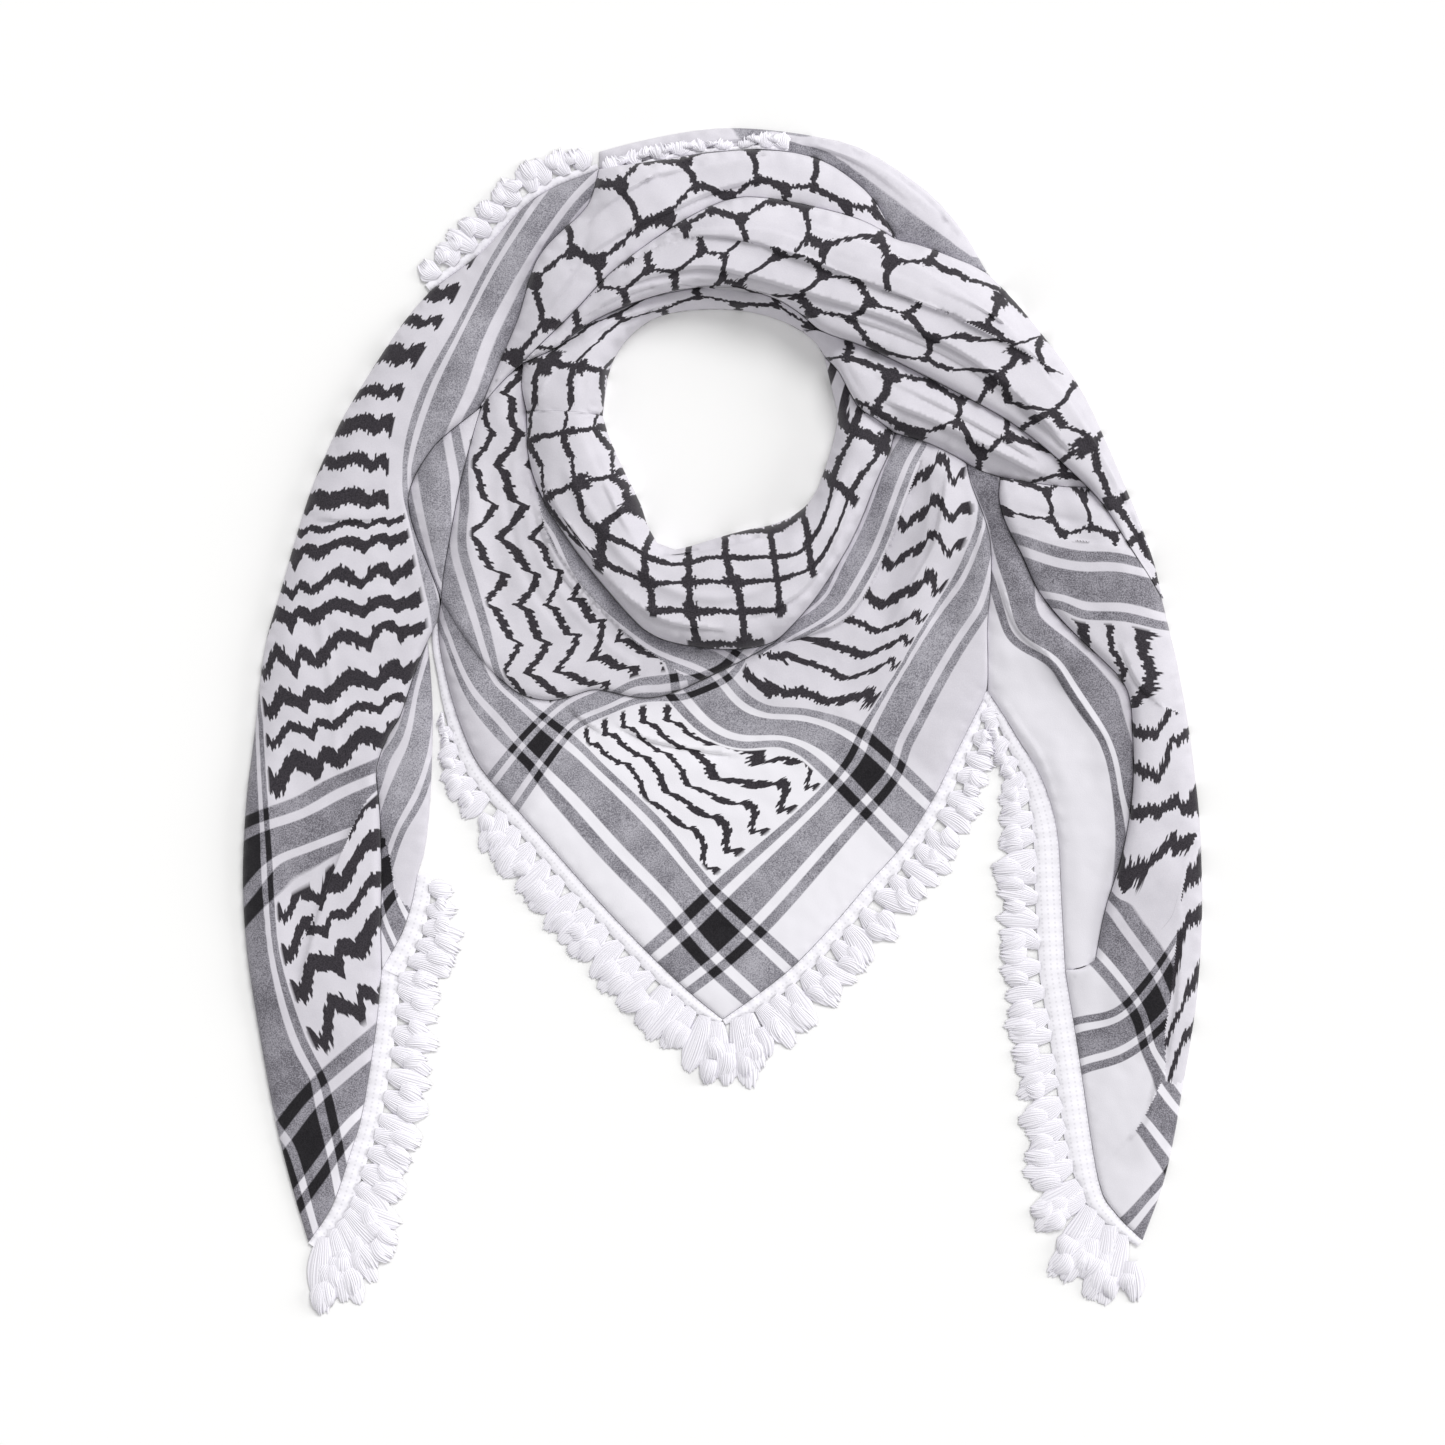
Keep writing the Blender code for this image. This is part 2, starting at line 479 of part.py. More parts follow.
# ---------------------------------------------------------------- solids
def add_row(plan, links, row, loop, clear, linked):
    """Add a row's points that lie inside the loop and clear of the rest, and link them."""
    inside = inside_loop(row, loop)
    edge_gap, _ = distance_to_line(row, np.vstack([loop, loop[:1]]))
    last = None
    for point, keep in zip(row, inside & (edge_gap > EDGE_CLEAR)):
        if not keep or min(math.dist(point, other) for other in plan) < clear:
            last = None
            continue
        plan.append(tuple(point))
        if linked and last is not None:
            links.append((last, len(plan) - 1))
        last = len(plan) - 1


def plan_points(loop, name):
    """Points of a stretch in plan, its edge first, and the links that keep folds crisp."""
    plan = [tuple(point) for point in loop]
    links = []
    for fold_stretch, _, _, spread, line in FOLDS:
        if fold_stretch == name:
            line = smooth_line(line, FOLD_STEP)
            gap, clear = FOLD_ROW
            add_row(plan, links, offset_line(line, -gap), loop, clear, True)
            add_row(plan, links, offset_line(line, gap), loop, clear, True)
            add_row(plan, links, offset_line(line, FOLD_SHARE * spread), loop, ROW_CLEAR, False)
    layered = any(role == "free" for _, role in STRETCHES[name]["edges"])
    for offset, clear in (LEDGE_ROW, *EDGE_ROWS) if layered else EDGE_ROWS:
        add_row(plan, links, inset_loop(loop, offset), loop, clear, False)
    low, high = loop.min(axis=0), loop.max(axis=0)
    for number, y in enumerate(np.arange(low[1], high[1], FIELD_STEP * math.sin(math.pi / 3))):
        xs = np.arange(low[0], high[0], FIELD_STEP) + 0.5 * FIELD_STEP * (number % 2)
        row = np.column_stack([xs, np.full(len(xs), y)])
        add_row(plan, links, row, loop, FIELD_CLEAR, False)
    return plan, links


def add_object(name, bm, material):
    bmesh.ops.recalc_face_normals(bm, faces=bm.faces)
    mesh = bpy.data.meshes.new(name)
    bm.to_mesh(mesh)
    bm.free()
    mesh.materials.append(material)
    piece = bpy.data.objects.new(name, mesh)
    bpy.context.scene.collection.objects.link(piece)
    return piece


def build_stretch(name, material):
    """One stretch of cloth: a flat underside, upright edges and a folded top."""
    loop = inset_loop(chain_loop([seam for seam, _ in STRETCHES[name]["edges"]]), GAP / 2)
    plan, links = plan_points(loop, name)
    rim = list(range(len(loop)))
    points, _, faces, *_ = delaunay_2d_cdt(plan, links, [rim], 1, PLAN_TOLERANCE)
    plan = np.array([tuple(p) for p in points])
    heights = cloth_height(plan, name)
    bm = bmesh.new()
    top = [bm.verts.new((x * MM, y * MM, z * MM)) for (x, y), z in zip(plan, heights)]
    for face in faces:
        bm.faces.new([top[i] for i in face])
    border = [edge for edge in bm.edges if edge.is_boundary]
    walls = bmesh.ops.extrude_edge_only(bm, edges=border)["geom"]
    floor_edges = [item for item in walls if isinstance(item, bmesh.types.BMEdge)
                   and item.is_boundary]
    for item in walls:
        if isinstance(item, bmesh.types.BMVert):
            item.co.z = 0.0
    under = bmesh.ops.contextual_create(bm, geom=floor_edges)["faces"]
    bmesh.ops.triangulate(bm, faces=under)
    return add_object(name, bm, material)


def build_fringe(name, material, rng):
    """The tape along a hem with its locks drawn out of the tape's outer edge."""
    fringe = FRINGES[name]
    side = fringe["side"]
    hem = []
    for seam in fringe["hems"]:
        hem += list(seam_points(seam, HEM_STEPS[0]))[bool(hem):]
    hem = smooth_line(hem, HEM_STEPS[1])
    walk = np.concatenate([[0], np.cumsum(np.linalg.norm(np.diff(hem, axis=0), axis=1))])
    first, last = fringe["start"], walk[-1] - fringe["end"]
    locks = int((last - first) / LOCK_PITCH)
    first = last - locks * LOCK_PITCH
    # each lock's root, then the narrower gap beside it
    stops = np.linspace(first, last, 2 * locks + 1)
    stops[1::2] += LOCK_SHIFT * LOCK_PITCH
    base = np.column_stack([np.interp(stops, walk, hem[:, axis]) for axis in (0, 1)])
    table = np.array(fringe["rows"], float)
    width, reach, lean = (np.interp(stops / walk[-1], table[:, 0], table[:, column])
                          for column in (1, 2, 3))
    inner = offset_line(base, side * GAP)
    outer = offset_line(base, side * (GAP + width))
    outward = (outer - inner) / np.linalg.norm(outer - inner, axis=1, keepdims=True)
    turn = np.radians(lean)
    outward = np.column_stack([
        outward[:, 0] * np.cos(turn) - outward[:, 1] * np.sin(turn),
        outward[:, 0] * np.sin(turn) + outward[:, 1] * np.cos(turn)])
    bm = bmesh.new()

    def post(point, low, high):
        return [bm.verts.new((point[0] * MM, point[1] * MM, z * MM)) for z in (low, high)]

    def bridge(near, far):
        """Join two upright quads, each a pair of posts, with four side faces."""
        (a, b), (c, d) = near, far
        bm.faces.new((a[1], b[1], d[1], c[1]))
        bm.faces.new((a[0], c[0], d[0], b[0]))
        bm.faces.new((a[0], a[1], c[1], c[0]))
        bm.faces.new((b[0], d[0], d[1], b[1]))

    inner_posts = [post(point, LOCK_BASE, TAPE_HEIGHT) for point in inner]
    outer_posts = [post(point, LOCK_BASE, LOCK_BASE + LOCK_HEIGHT) for point in outer]
    for i in range(len(stops) - 1):
        a, b, c, d = inner_posts[i], inner_posts[i + 1], outer_posts[i], outer_posts[i + 1]
        bm.faces.new((a[1], b[1], d[1], c[1]))
        bm.faces.new((a[0], c[0], d[0], b[0]))
        bm.faces.new((a[0], b[0], b[1], a[1]))
    for a, b in ((inner_posts[0], outer_posts[0]), (inner_posts[-1], outer_posts[-1])):
        bm.faces.new((a[0], a[1], b[1], b[0]))
    tips = outer + outward * reach[:, None]
    for i in range(len(stops) - 1):
        root = (outer_posts[i], outer_posts[i + 1])
        if i % 2 or reach[i] < SHORT_LOCK:
            bm.faces.new((root[0][0], root[0][1], root[1][1], root[1][0]))
            continue
        start = 0.5 * (outer[i] + outer[i + 1])
        tip = 0.5 * (tips[i] + tips[i + 1])
        tip = start + (tip - start) * rng.uniform(LOCK_SHORTEST, 1.0)
        last_stop = min(i + 2, len(tips) - 1)
        room = (np.linalg.norm(tips[last_stop] - tips[last_stop - 2]),
                np.linalg.norm(outer[last_stop] - outer[last_stop - 2]))
        along = (tip - start) / np.linalg.norm(tip - start)
        across = side * np.array([along[1], -along[0]])
        if across @ (outer[i + 1] - outer[i]) < 0:
            across = -across
        near = root
        for share, size, close in LOCK_RINGS:
            centre = start + (tip - start) * share
            pitch = min(share * room[0] + (1 - share) * room[1], LOCK_SPREAD * LOCK_PITCH)
            half = 0.5 * across * size * pitch
            far = (post(centre - half, LOCK_BASE + close, LOCK_BASE + LOCK_HEIGHT - close),
                   post(centre + half, LOCK_BASE + close, LOCK_BASE + LOCK_HEIGHT - close))
            bridge(near, far)
            near = far
        a, b = near
        bm.faces.new((a[0], a[1], b[1], b[0]))
    return add_object(name, bm, material)


def main():
    clear_scene()
    rng = random.Random(SEED)
    cotton = cotton_material("cotton_cloth", COTTON)
    fringe_cotton = cotton_material("cotton_fringe", FRINGE_COTTON)
    for name in STRETCHES:
        build_stretch(name, cotton)
    for name in FRINGES:
        build_fringe(name, fringe_cotton, rng)


main()
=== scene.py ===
"""A keffiyeh headscarf laid flat: thin cloth over the CAD's form, its pattern and its fringe.

Tables are in millimetres. Every stretch of cloth carries its own place in the square
scarf as two numbers, p and q: how far a point lies from two adjoining hems. The woven
pattern is worked out from p and q alone.
"""
import math
import random

import bpy
import numpy as np
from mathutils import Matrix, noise
from mathutils.bvhtree import BVHTree
from mathutils.geometry import delaunay_2d_cdt


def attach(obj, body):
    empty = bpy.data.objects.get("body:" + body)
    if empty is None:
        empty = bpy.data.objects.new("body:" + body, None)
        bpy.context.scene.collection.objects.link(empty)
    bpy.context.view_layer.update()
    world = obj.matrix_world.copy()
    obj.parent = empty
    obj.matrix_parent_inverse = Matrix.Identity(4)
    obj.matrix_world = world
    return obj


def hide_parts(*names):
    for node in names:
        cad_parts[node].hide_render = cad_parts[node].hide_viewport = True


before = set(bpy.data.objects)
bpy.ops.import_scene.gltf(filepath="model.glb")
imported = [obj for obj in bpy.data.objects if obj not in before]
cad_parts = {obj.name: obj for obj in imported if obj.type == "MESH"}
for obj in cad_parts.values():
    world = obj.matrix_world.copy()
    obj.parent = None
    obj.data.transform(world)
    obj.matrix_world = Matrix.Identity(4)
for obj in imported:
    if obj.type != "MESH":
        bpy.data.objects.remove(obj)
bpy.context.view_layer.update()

MM = 0.001
CLOTH = 1200.0                   # side of the square scarf
STEP = 1.6                       # spacing of points in a shell
RIM_STEP = 1.5                   # spacing of points along its edge
RINGS = (0.5, 1.2, 2.2, 3.5)     # how far in the rows beside the edge lie
RING_KEPT = 0.9                  # a point nearer to the edge than this share is left out
SMOOTHINGS = 12                  # rounds of smoothing over the solid's facets
SOFTER = {"middle_winding": 34, "lower_winding": 34, "outer_winding": 20}   # and over these
EASED, KEPT = 0.6, 0.4           # what each round takes from the neighbours, and keeps
CORNER = math.radians(32)        # an outline keeps its corners that are sharper than this
RIM_ROUNDS, RADIUS_ROUNDS = 8, 6     # rounds of smoothing along an outline
SNAP = 0.45                      # edge points this close to a join are moved on to it
FREE_RADIUS = 3.0                # rounding of a fold that lies on the floor
FREE_SHARE = 0.6                 # and at most this share of its height
OVER_RADIUS = 4.0                # rounding of a fold that lies on other cloth
FLUSH = 1.0                      # a fold that stands up less than this stays square
JUST_IN, JUST_OUT = 0.5, 1.5     # where the heights on both sides of an edge are taken
LEAST_ROUND = 0.05               # and an edge's least rounding
SKIRT_IN = 0.15                  # how far in a wall's foot stands
FLOOR_CLEAR, LEAST_WALL = 0.3, 0.1   # height of a wall's foot, and the least of a wall
LAP_GAP = 0.45                   # how far each side of a lap its rows of points lie
LAP_FREE = 0.45                  # points nearer to a lap than this share of STEP are left out
CREASE_ENDS = 12.0               # over which a crease dies away at its ends
LAP_FALL, LAP_DIP = 1.5, 0.5     # how steeply a lap falls, and its low side's share
CREASE_RIM, RUMPLE_RIM = 4.0, 3.0    # over which creases and rumples fade in from the edge
RUMPLES = [(0.55, 17, 3.1), (0.28, 6.5, 9.7)]    # their height, size and seed
RUMPLE_FULL, RUMPLE_LEAST = 6.0, 0.25    # full on cloth this high, and their least share
RAYS_FROM, NEAREST_TO = 100.0, 40.0      # heights that the CAD is looked at from
ON_FLOOR = 0.01                  # a CAD point below this is on the floor
UNDER_HEIGHT = 0.45              # height of the sheet that closes the scarf from below
UNDER_TURN, UNDER_P, UNDER_Q = 0.7, 620, 640     # and how its weave lies
NOTHING = -1.0                   # a height where there is no cloth
TINY = 1e-6                      # shorter than any step along a line
MERGED, ON_LAP = 1e-4, 1e-4      # points this near are one, or on a lap (its square)
CHUNK = 1500                     # points worked on at a time
LINE_STEPS = 8                   # steps of a smooth line between two of its points
HEM_STEP, TAPE_STEP = 3.0, 1.0   # spacing of points along a hem, and then along its tape

# ---------------------------------------------------------------- tables
# The pieces of cloth, and the CAD nodes that each one stands for.
PIECES = {
    "left_tail": ["left_tail_front"],
    "left_tail_turn": ["left_tail_turn"],
    "left_tail_inner": ["left_tail_inner"],
    "bib": ["bib_panel", "bib_swag"],
    "neck_roll": ["front_roll", "inner_winding"],
    "middle_winding": ["middle_winding"],
    "lower_winding": ["lower_winding"],
    "outer_winding": ["outer_winding"],
    "back_edge": ["back_edge"],
    "right_tail": ["right_tail_front", "right_tail_inner"],
}

# Every line below is a list of x, y, x, y. These are where two solids meet edge to edge.
JOINS = [[-98, 152, -60, 150], [-141, 58, -131, 42, -121, 28, -111, 18],
         [187, -123, 180, -127, 172, -128]]

# Threads of the weave, by stretch: those of one p, then those of one q. Each is the value
# of p or q, then the x and y of points along the thread.
THREADS = {
    "bib_panel": ([
        (0, -142, 34, -129, -12, -101, -50, -61, -95, -17, -139, 0, -153),
        (13.5, -144, 50, -136, 28, -126, 8, -111, -10, -96, -25),
        (28, -137, 58, -131, 40, -121, 18, -113, 9, -106, 2, -92, -15, -71, -32, -46, -58,
         -21, -85, -2, -108, 25, -134),
        (42.5, -122, 50, -112, 19, -101, 8, -75, -12, -62, -25, -48, -38, -30, -56, -15, -75,
         -5, -87),
        (121.5, -25, 8, -16, -2, -6, -10, 9, -15, 29, -14, 39, -18, 51, -28, 64, -41, 88, -66),
        (136, -9, 14, -2, 5, 9, -4, 26, -6, 40, -8, 56, -14, 73, -29, 85, -42, 98, -54),
        (150.5, 3, 18, 11, 9, 24, 2, 39, 2, 54, -2, 69, -9, 83, -20, 106, -42),
        (164, 92, -6, 117, -30), (161, 24, 14, 50, 8, 76, 10), (176.5, 32, 27, 62, 20, 84, 26),
        (192, 42, 36, 68, 31, 92, 38), (207.5, 58, 46, 80, 44, 104, 50),
        (223, 74, 58, 94, 63, 114, 66), (238.5, 84, 80, 104, 85, 124, 88),
        (254, 92, 99, 106, 102, 122, 105), (269.5, 102, 121, 121, 123)], [
        (0, 133, 12, 121, -12, 106, -42, 74, -84, 36, -126, 0, -153),
        (23.5, 131, 51, 119, 33, 108, 14, 97.5, -6, 92, -16),
        (38, 134, 98, 131, 83, 124, 61.5, 110, 40, 97.5, 19, 87, 0, 80, -15, 73, -29, -2, -108,
         -27, -129),
        (52.5, 131, 104, 129, 93, 119, 72, 104.5, 51, 85, 19, 76, 3, 69, -9),
        (62.5, 113, 84, 114, 100, 116, 121),
        (80, 72, 12, 84, 27, 91, 42, 98, 55, 102, 71, 103, 90, 104, 104, 107, 125),
        (100.5, 52, 8, 60, 17, 70, 27, 78, 42, 80, 57, 86, 79, 92, 95),
        (118, 30, 32, 48, 36, 62, 47), (138.5, 17, 20, 24, 10),
        (153.5, -74, -6, -59, 1, -40, 8, -21, 9, -8, 13, 3, 18.5),
        (148, -20, 5, -8, 9.5, 3, 14.5, 9, 20), (159, -17, 13.5, -6, 18, 2, 23, 8, 29),
        (168, -108, -36, -92, -15, -75, 2, -60, 8)]),
    "bib_shoulder": ([
        (230, 30, 40, 60, 66, 90, 130)], [
        (182.5, 75, 116, 67, 95, 57, 76, 50, 60, 30, 46),
        (168, 92, 136, 85, 123.5, 78, 104, 69, 83, 60, 67, 50, 53, 36, 43, 24, 37),
        (153.5, 96, 127, 87, 104, 80, 84.5, 71, 67, 62, 53, 50, 45, 36, 38)]),
    "bib_swag": ([
        (13.5, -141, 42, -136, 28), (28, -136, 58, -121, 18),
        (42.5, -130, 82, -121, 52, -116, 32, -111, 18),
        (52.5, -118, 148, -121, 125, -119, 104, -121, 90, -116, 70, -113, 56, -107, 40,
         -107, 25),
        (68, -105, 148, -108, 125, -105, 104, -107, 90, -98, 74, -97, 60, -93, 38, -93, 22,
         -82, 10),
        (76, -99, 125, -97, 108), (83.5, -90, 88, -86, 72, -83, 55, -78, 40, -78, 24, -63, 13),
        (99, -66, 48, -58, 30, -46, 18, -43, 10), (114.5, -51, 46, -45, 36, -32, 25, -30, 10)], [
        (176.5, -43, 12, -31, 12), (214.5, -110, 20, -97, 21, -80, 22, -61, 30, -52, 38),
        (252.5, -117, 56, -102, 55, -88, 55), (290.5, -125, 90, -112, 88, -93, 88),
        (328.5, -125, 125, -115, 125), (355, -122, 150, -100, 150)]),
    "bib_swag_upper": ([
        (121.5, -86, 88, -80, 70, -71, 58, -60, 48, -46, 38),
        (136, -88, 104, -80, 90, -70, 74, -60, 60, -46, 46, -32, 37, -11, 30),
        (129, -92, 120, -94, 140)], [
        (186, -56, 5), (179, -11, 15.5, 2, 21.5, 10, 31), (186, -26, 20.5, -13, 21.5, 0, 27.5),
        (205, -40, 34), (250, -80, 80), (300, -95, 140)]),
    "left_tail_front": ([
        (806.5, -130, 228, -120, 231), (822, -147, 211, -130, 212),
        (837.5, -158, 197, -138, 197), (853, -170, 180, -146, 181),
        (868.5, -180, 161, -152, 162), (884, -188, 145, -160, 146),
        (899.5, -193, 127, -165, 126), (915, -203, 108, -163, 108), (930.5, -210, 92, -165, 97),
        (946, -213, 82, -158, 90), (961.5, -217, 62, -165, 72), (977, -218, 50, -150, 58),
        (992.5, -225, 26, -205, 30, -165, 45), (1008, -222, 5, -200, 11, -160, 22),
        (1023.5, -220, -10, -195, -3, -165, 8), (1039, -220, -29, -195, -20, -170, -9),
        (1049.5, -229, -50, -211, -44, -196, -35, -172, -25),
        (1064, -227, -65, -205, -57, -181, -46), (1078.5, -219, -76, -191, -65),
        (1085.5, -222, -99, -209, -93, -197, -87), (1101, -220, -121, -211, -110, -204, -103),
        (1116.5, -216, -142, -208, -127), (1132, -192, -130), (1147.5, -188, -150),
        (1157.5, -200, -182, -186, -170, -173, -159), (1172, -207, -215, -197, -201, -178, -184),
        (1186.5, -192, -218, -182, -206), (1200, -206, -262)], [
        (23.5, -221, -218, -214, -238, -208, -258), (28.5, -231, -190, -225, -206),
        (38, -238, -74, -235, -112, -230, -148, -222, -178, -207, -215, -199, -250),
        (45.5, -234, -2, -230, -78, -229, -92, -226, -122, -221, -148, -214, -168, -206, -182),
        (52.5, -233, 8, -230, -32, -227, -72, -225, -112, -219, -138, -211, -162, -202, -180),
        (76, -223, 50, -223, 35, -220, 11, -216, -2, -213, -21, -211, -50, -211, -85, -208, -110,
         -204, -125, -195, -142),
        (114, -194, 61, -191, 40, -188, 25, -184, 10, -181, -10, -178, -35),
        (150, -158, 100, -147, 50),
        (153.5, -99, 254, -117, 224, -133, 192, -148, 164, -157, 136, -158, 120),
        (168, -86, 255, -108, 223, -123, 196, -134, 169, -143, 146, -153, 120),
        (182.5, -56, 272, -75, 252, -91, 228, -104, 199, -112, 180, -120, 159)]),
    "left_tail_turn": ([
        (880, -140, 145, -130, 145), (960, -141, 60, -135, 75)], [
        (153.5, -158, 112, -153, 92, -147, 74, -141, 60),
        (168, -146, 128, -143, 108, -141, 90, -139, 70), (182.5, -133, 140, -129, 120)]),
    "left_tail_inner": ([
        (880, -150, 35, -146, 35), (960, -160, -45, -148, -45), (1040, -171, -125, -160, -125)], [
        (0, -150, -75, -157, -95, -171, -128),
        (23.5, -144, -18, -151, -42, -161, -59, -166, -74),
        (38, -149, 10, -153, -22, -163, -42, -170, -60), (52.5, -154, 20, -161, -8, -169, -20)]),
    "left_tail_inner_fold": ([
        (1157.5, -171, -64, -164, -61), (1172, -171, -80, -164, -76),
        (1186.5, -171, -99, -164, -89), (1204, -168, -120, -158, -106)], [
        (23.5, -164, -74, -161, -90, -156, -99),
        (38, -168.5, -62, -168, -85, -166, -97, -161, -109), (52.5, -171, -105, -164, -121)]),
    "right_tail_inner": ([
        (0, 133, 12, 141, 0, 150, -15, 158, -27, 165, -45, 168.5, -62, 170, -90, 172, -128),
        (13.5, 135, 66, 140, 50, 144, 40, 154, 32, 164, 27, 172, 15, 181, 1, 190, -12, 195, -27,
         198, -44, 200, -62, 200, -76),
        (28, 139, 98, 142, 82, 148, 62, 153, 44, 170, 32, 182, 17, 193, 0, 201, -18, 205, -38),
        (36, 143, 100, 149, 84, 157, 68), (38.5, 160, 55, 172, 42, 190, 28, 203, 13)], [
        (1060, 130, 110, 140, 110), (1100, 135, 10, 195, 20), (1140, 172, -120, 190, -120)]),
    "right_tail_upper": ([
        (192, 176, 48, 180, 43, 184, 33), (176.5, 191.5, 45, 195, 35, 201, 20),
        (161, 208, 42, 211, 30, 214, 19, 209, 12, 205, 5), (216, 150, 80),
        (156.3, 221, 55, 220, 40, 222, 25, 222, 8), (156.6, 228, 40, 230, 10), (166, 210, 90)], [
        (1017.5, 147, 88, 165, 82, 180, 79, 195, 79, 208, 76),
        (1032, 160, 68, 180, 64, 200, 64, 214, 61), (1046.5, 170, 55, 179, 50, 200, 49, 217, 45),
        (1070, 197, 30, 211, 28), (1090, 207, 10, 222, 10)]),
    "right_tail_lower": ([
        (99, 206, -9, 212, -11, 223, -2), (83.5, 206, -26, 219, -29, 226, -14, 233, -8),
        (73, 206, -44.5, 221, -39.5, 230, -43, 235, -34),
        (68, 206, -50, 221, -45, 232, -48, 237, -38), (63, 205, -55.5, 221, -50.5, 234, -53),
        (54, 200, -88, 204, -78, 213, -71, 226, -66, 234, -60),
        (47.2, 204, -88, 214, -79, 227, -74, 237, -68),
        (46.3, 214, -92, 224, -100, 227, -112, 226, -85, 230, -92),
        (45, 201, -92, 207, -100, 215, -110.5, 225, -125),
        (42.5, 194, -88, 201, -97.5, 209, -108, 217, -119, 222, -126, 226, -138),
        (28, 190, -108, 205, -127, 216, -145, 221, -165),
        (13.5, 188, -125, 200, -139, 208, -152, 212, -166, 219, -181),
        (2, 173, -134, 176, -150, 179, -168, 186, -215), (6, 186, -140, 194, -160, 200, -190)], [
        (1068, 205, 2, 204, -26, 203, -50, 198, -82),
        (1092, 218, 2, 219, -28, 220, -50, 214, -72), (1118, 232, -8, 235, -36, 234, -62),
        (1130, 229, -90, 226, -102),
        (1147.5, 178, -153, 195, -150, 204, -143, 219, -124, 229, -108),
        (1162, 180, -166, 200, -159, 216, -145, 226, -130),
        (1176.5, 183, -177, 200, -172, 213, -163, 225, -151)]),
    "right_tail_side": ([
        (46, 229, -77, 234, -72), (52.5, 229, -87, 235, -85.5, 237.5, -80, 239, -70),
        (60, 227, -104, 231, -98, 236, -92, 240, -84),
        (68, 225, -134, 228, -120, 230, -109, 235, -104, 240, -94),
        (75.5, 224, -148, 229, -137, 232, -126, 236, -116),
        (83.5, 222, -160, 226, -153, 230, -147, 234, -141, 237, -129, 240, -120),
        (91, 224, -168, 229, -160, 234, -152), (99, 226, -176, 229, -168, 233, -160, 237, -150)], [
        (1080, 229, -60, 229, -100, 228, -150, 227, -185),
        (1105, 241, -60, 241, -90, 239, -145, 233, -188)]),
    "right_tail_tip": ([
        (42.5, 219, -179, 229, -193), (28, 214, -194, 228, -210), (13.5, 209, -206, 224, -227),
        (2, 196, -215, 212, -245)], [
        (1176.5, 204, -252, 222, -232), (1162, 212, -262, 221, -248),
        (1192, 190, -232, 226, -196)]),
    "back_edge": ([
        (18.2, -60, 286, -60, 272, -21, 291, -21, 279, 3, 292, 3, 282, 17, 285, 24, 291),
        (18.2, 50, 290, 70, 285, 92, 270, 112, 253, 126, 236),
        (20.5, 31, 287, 52, 281, 80, 262, 99, 247.5, 124, 228.5),
        (35.5, 28, 283, 52, 271, 64, 258, 83, 239, 110, 228, 124, 221)], [
        (340, -60, 280, -60, 275), (540, 130, 225, 135, 220)]),
    "inner_winding": ([
        (378, -61, 152, -58, 172, -44, 190, -20, 202),
        (405, -78, 150, -76, 164, -68, 180, -52, 195, -11, 208, 27, 203),
        (432, -97, 150, -91, 172, -72, 191, -45, 204), (395, -29, 202, 9, 203.5, 40, 193)], [
        (650, -92, 151, -61, 152), (629, -89, 176, -57, 171), (592, -62, 204, -42, 193),
        (555, -12, 210, -11, 202), (518, 27, 206, 26, 198), (500, 50, 190, 42, 187)]),
    "front_roll": ([
        (378, -63, 146, -57, 130, -52, 119, -47, 108),
        (405, -76, 141, -79, 133, -76, 124, -71, 114, -72, 103, -68, 96, -59, 90, -40, 81,
         -31, 76, -24, 74, -16, 76, 0, 79, 10, 77.5, 23, 79, 36, 79, 43, 86, 50, 96, 54, 108,
         55, 120, 61, 131, 65, 143),
        (432, -97, 148, -92, 124, -84, 100, -72, 86, -59, 77, -54, 73, -40, 67.5, -34, 65.5,
         -17, 66.5, 3.5, 66, 27, 67.5, 43, 73, 50, 80, 57, 93, 63, 110, 71, 121, 77, 129,
         80, 136),
        (459, -52, 58, -35, 52.5, -17, 51.5, 9, 51.5, 29, 52.5, 37, 54.5, 54, 68),
        (486, -16, 36, -3, 35, 18, 36)], [
        (650, -92, 150, -61, 153), (666, -92, 138, -76, 141, -64, 143),
        (703, -88, 108, -70, 116, -53, 119), (740, -60, 94, -60, 78, -64, 68),
        (777, -38, 84, -39, 72, -35, 60, -34, 46), (814, -17, 84, -16.5, 72, -16.5, 56, -13, 38),
        (851, 1, 86, 3, 72, 9, 58, 11, 38), (888, 24, 90, 26, 76, 28, 60, 29, 46),
        (925, 42, 92, 43, 80, 46, 66), (962, 53, 118, 62, 111, 68, 104),
        (999, 60, 145, 70, 140, 79, 136)]),
}
# Under its fold the left tail's p starts anew down to its tip, and its q runs on.
THREADS["left_tail_fold"] = ([
    (1085.5, -186, -56, -172, -43), (1101, -195, -86, -184, -73, -171, -63),
    (1116.5, -204, -108, -190, -98, -171, -84), (1132, -206, -130, -190, -118, -171, -105),
    (1147.5, -206, -162, -188, -147, -171, -136)]
    + THREADS["left_tail_front"][0][-4:], THREADS["left_tail_front"][1])

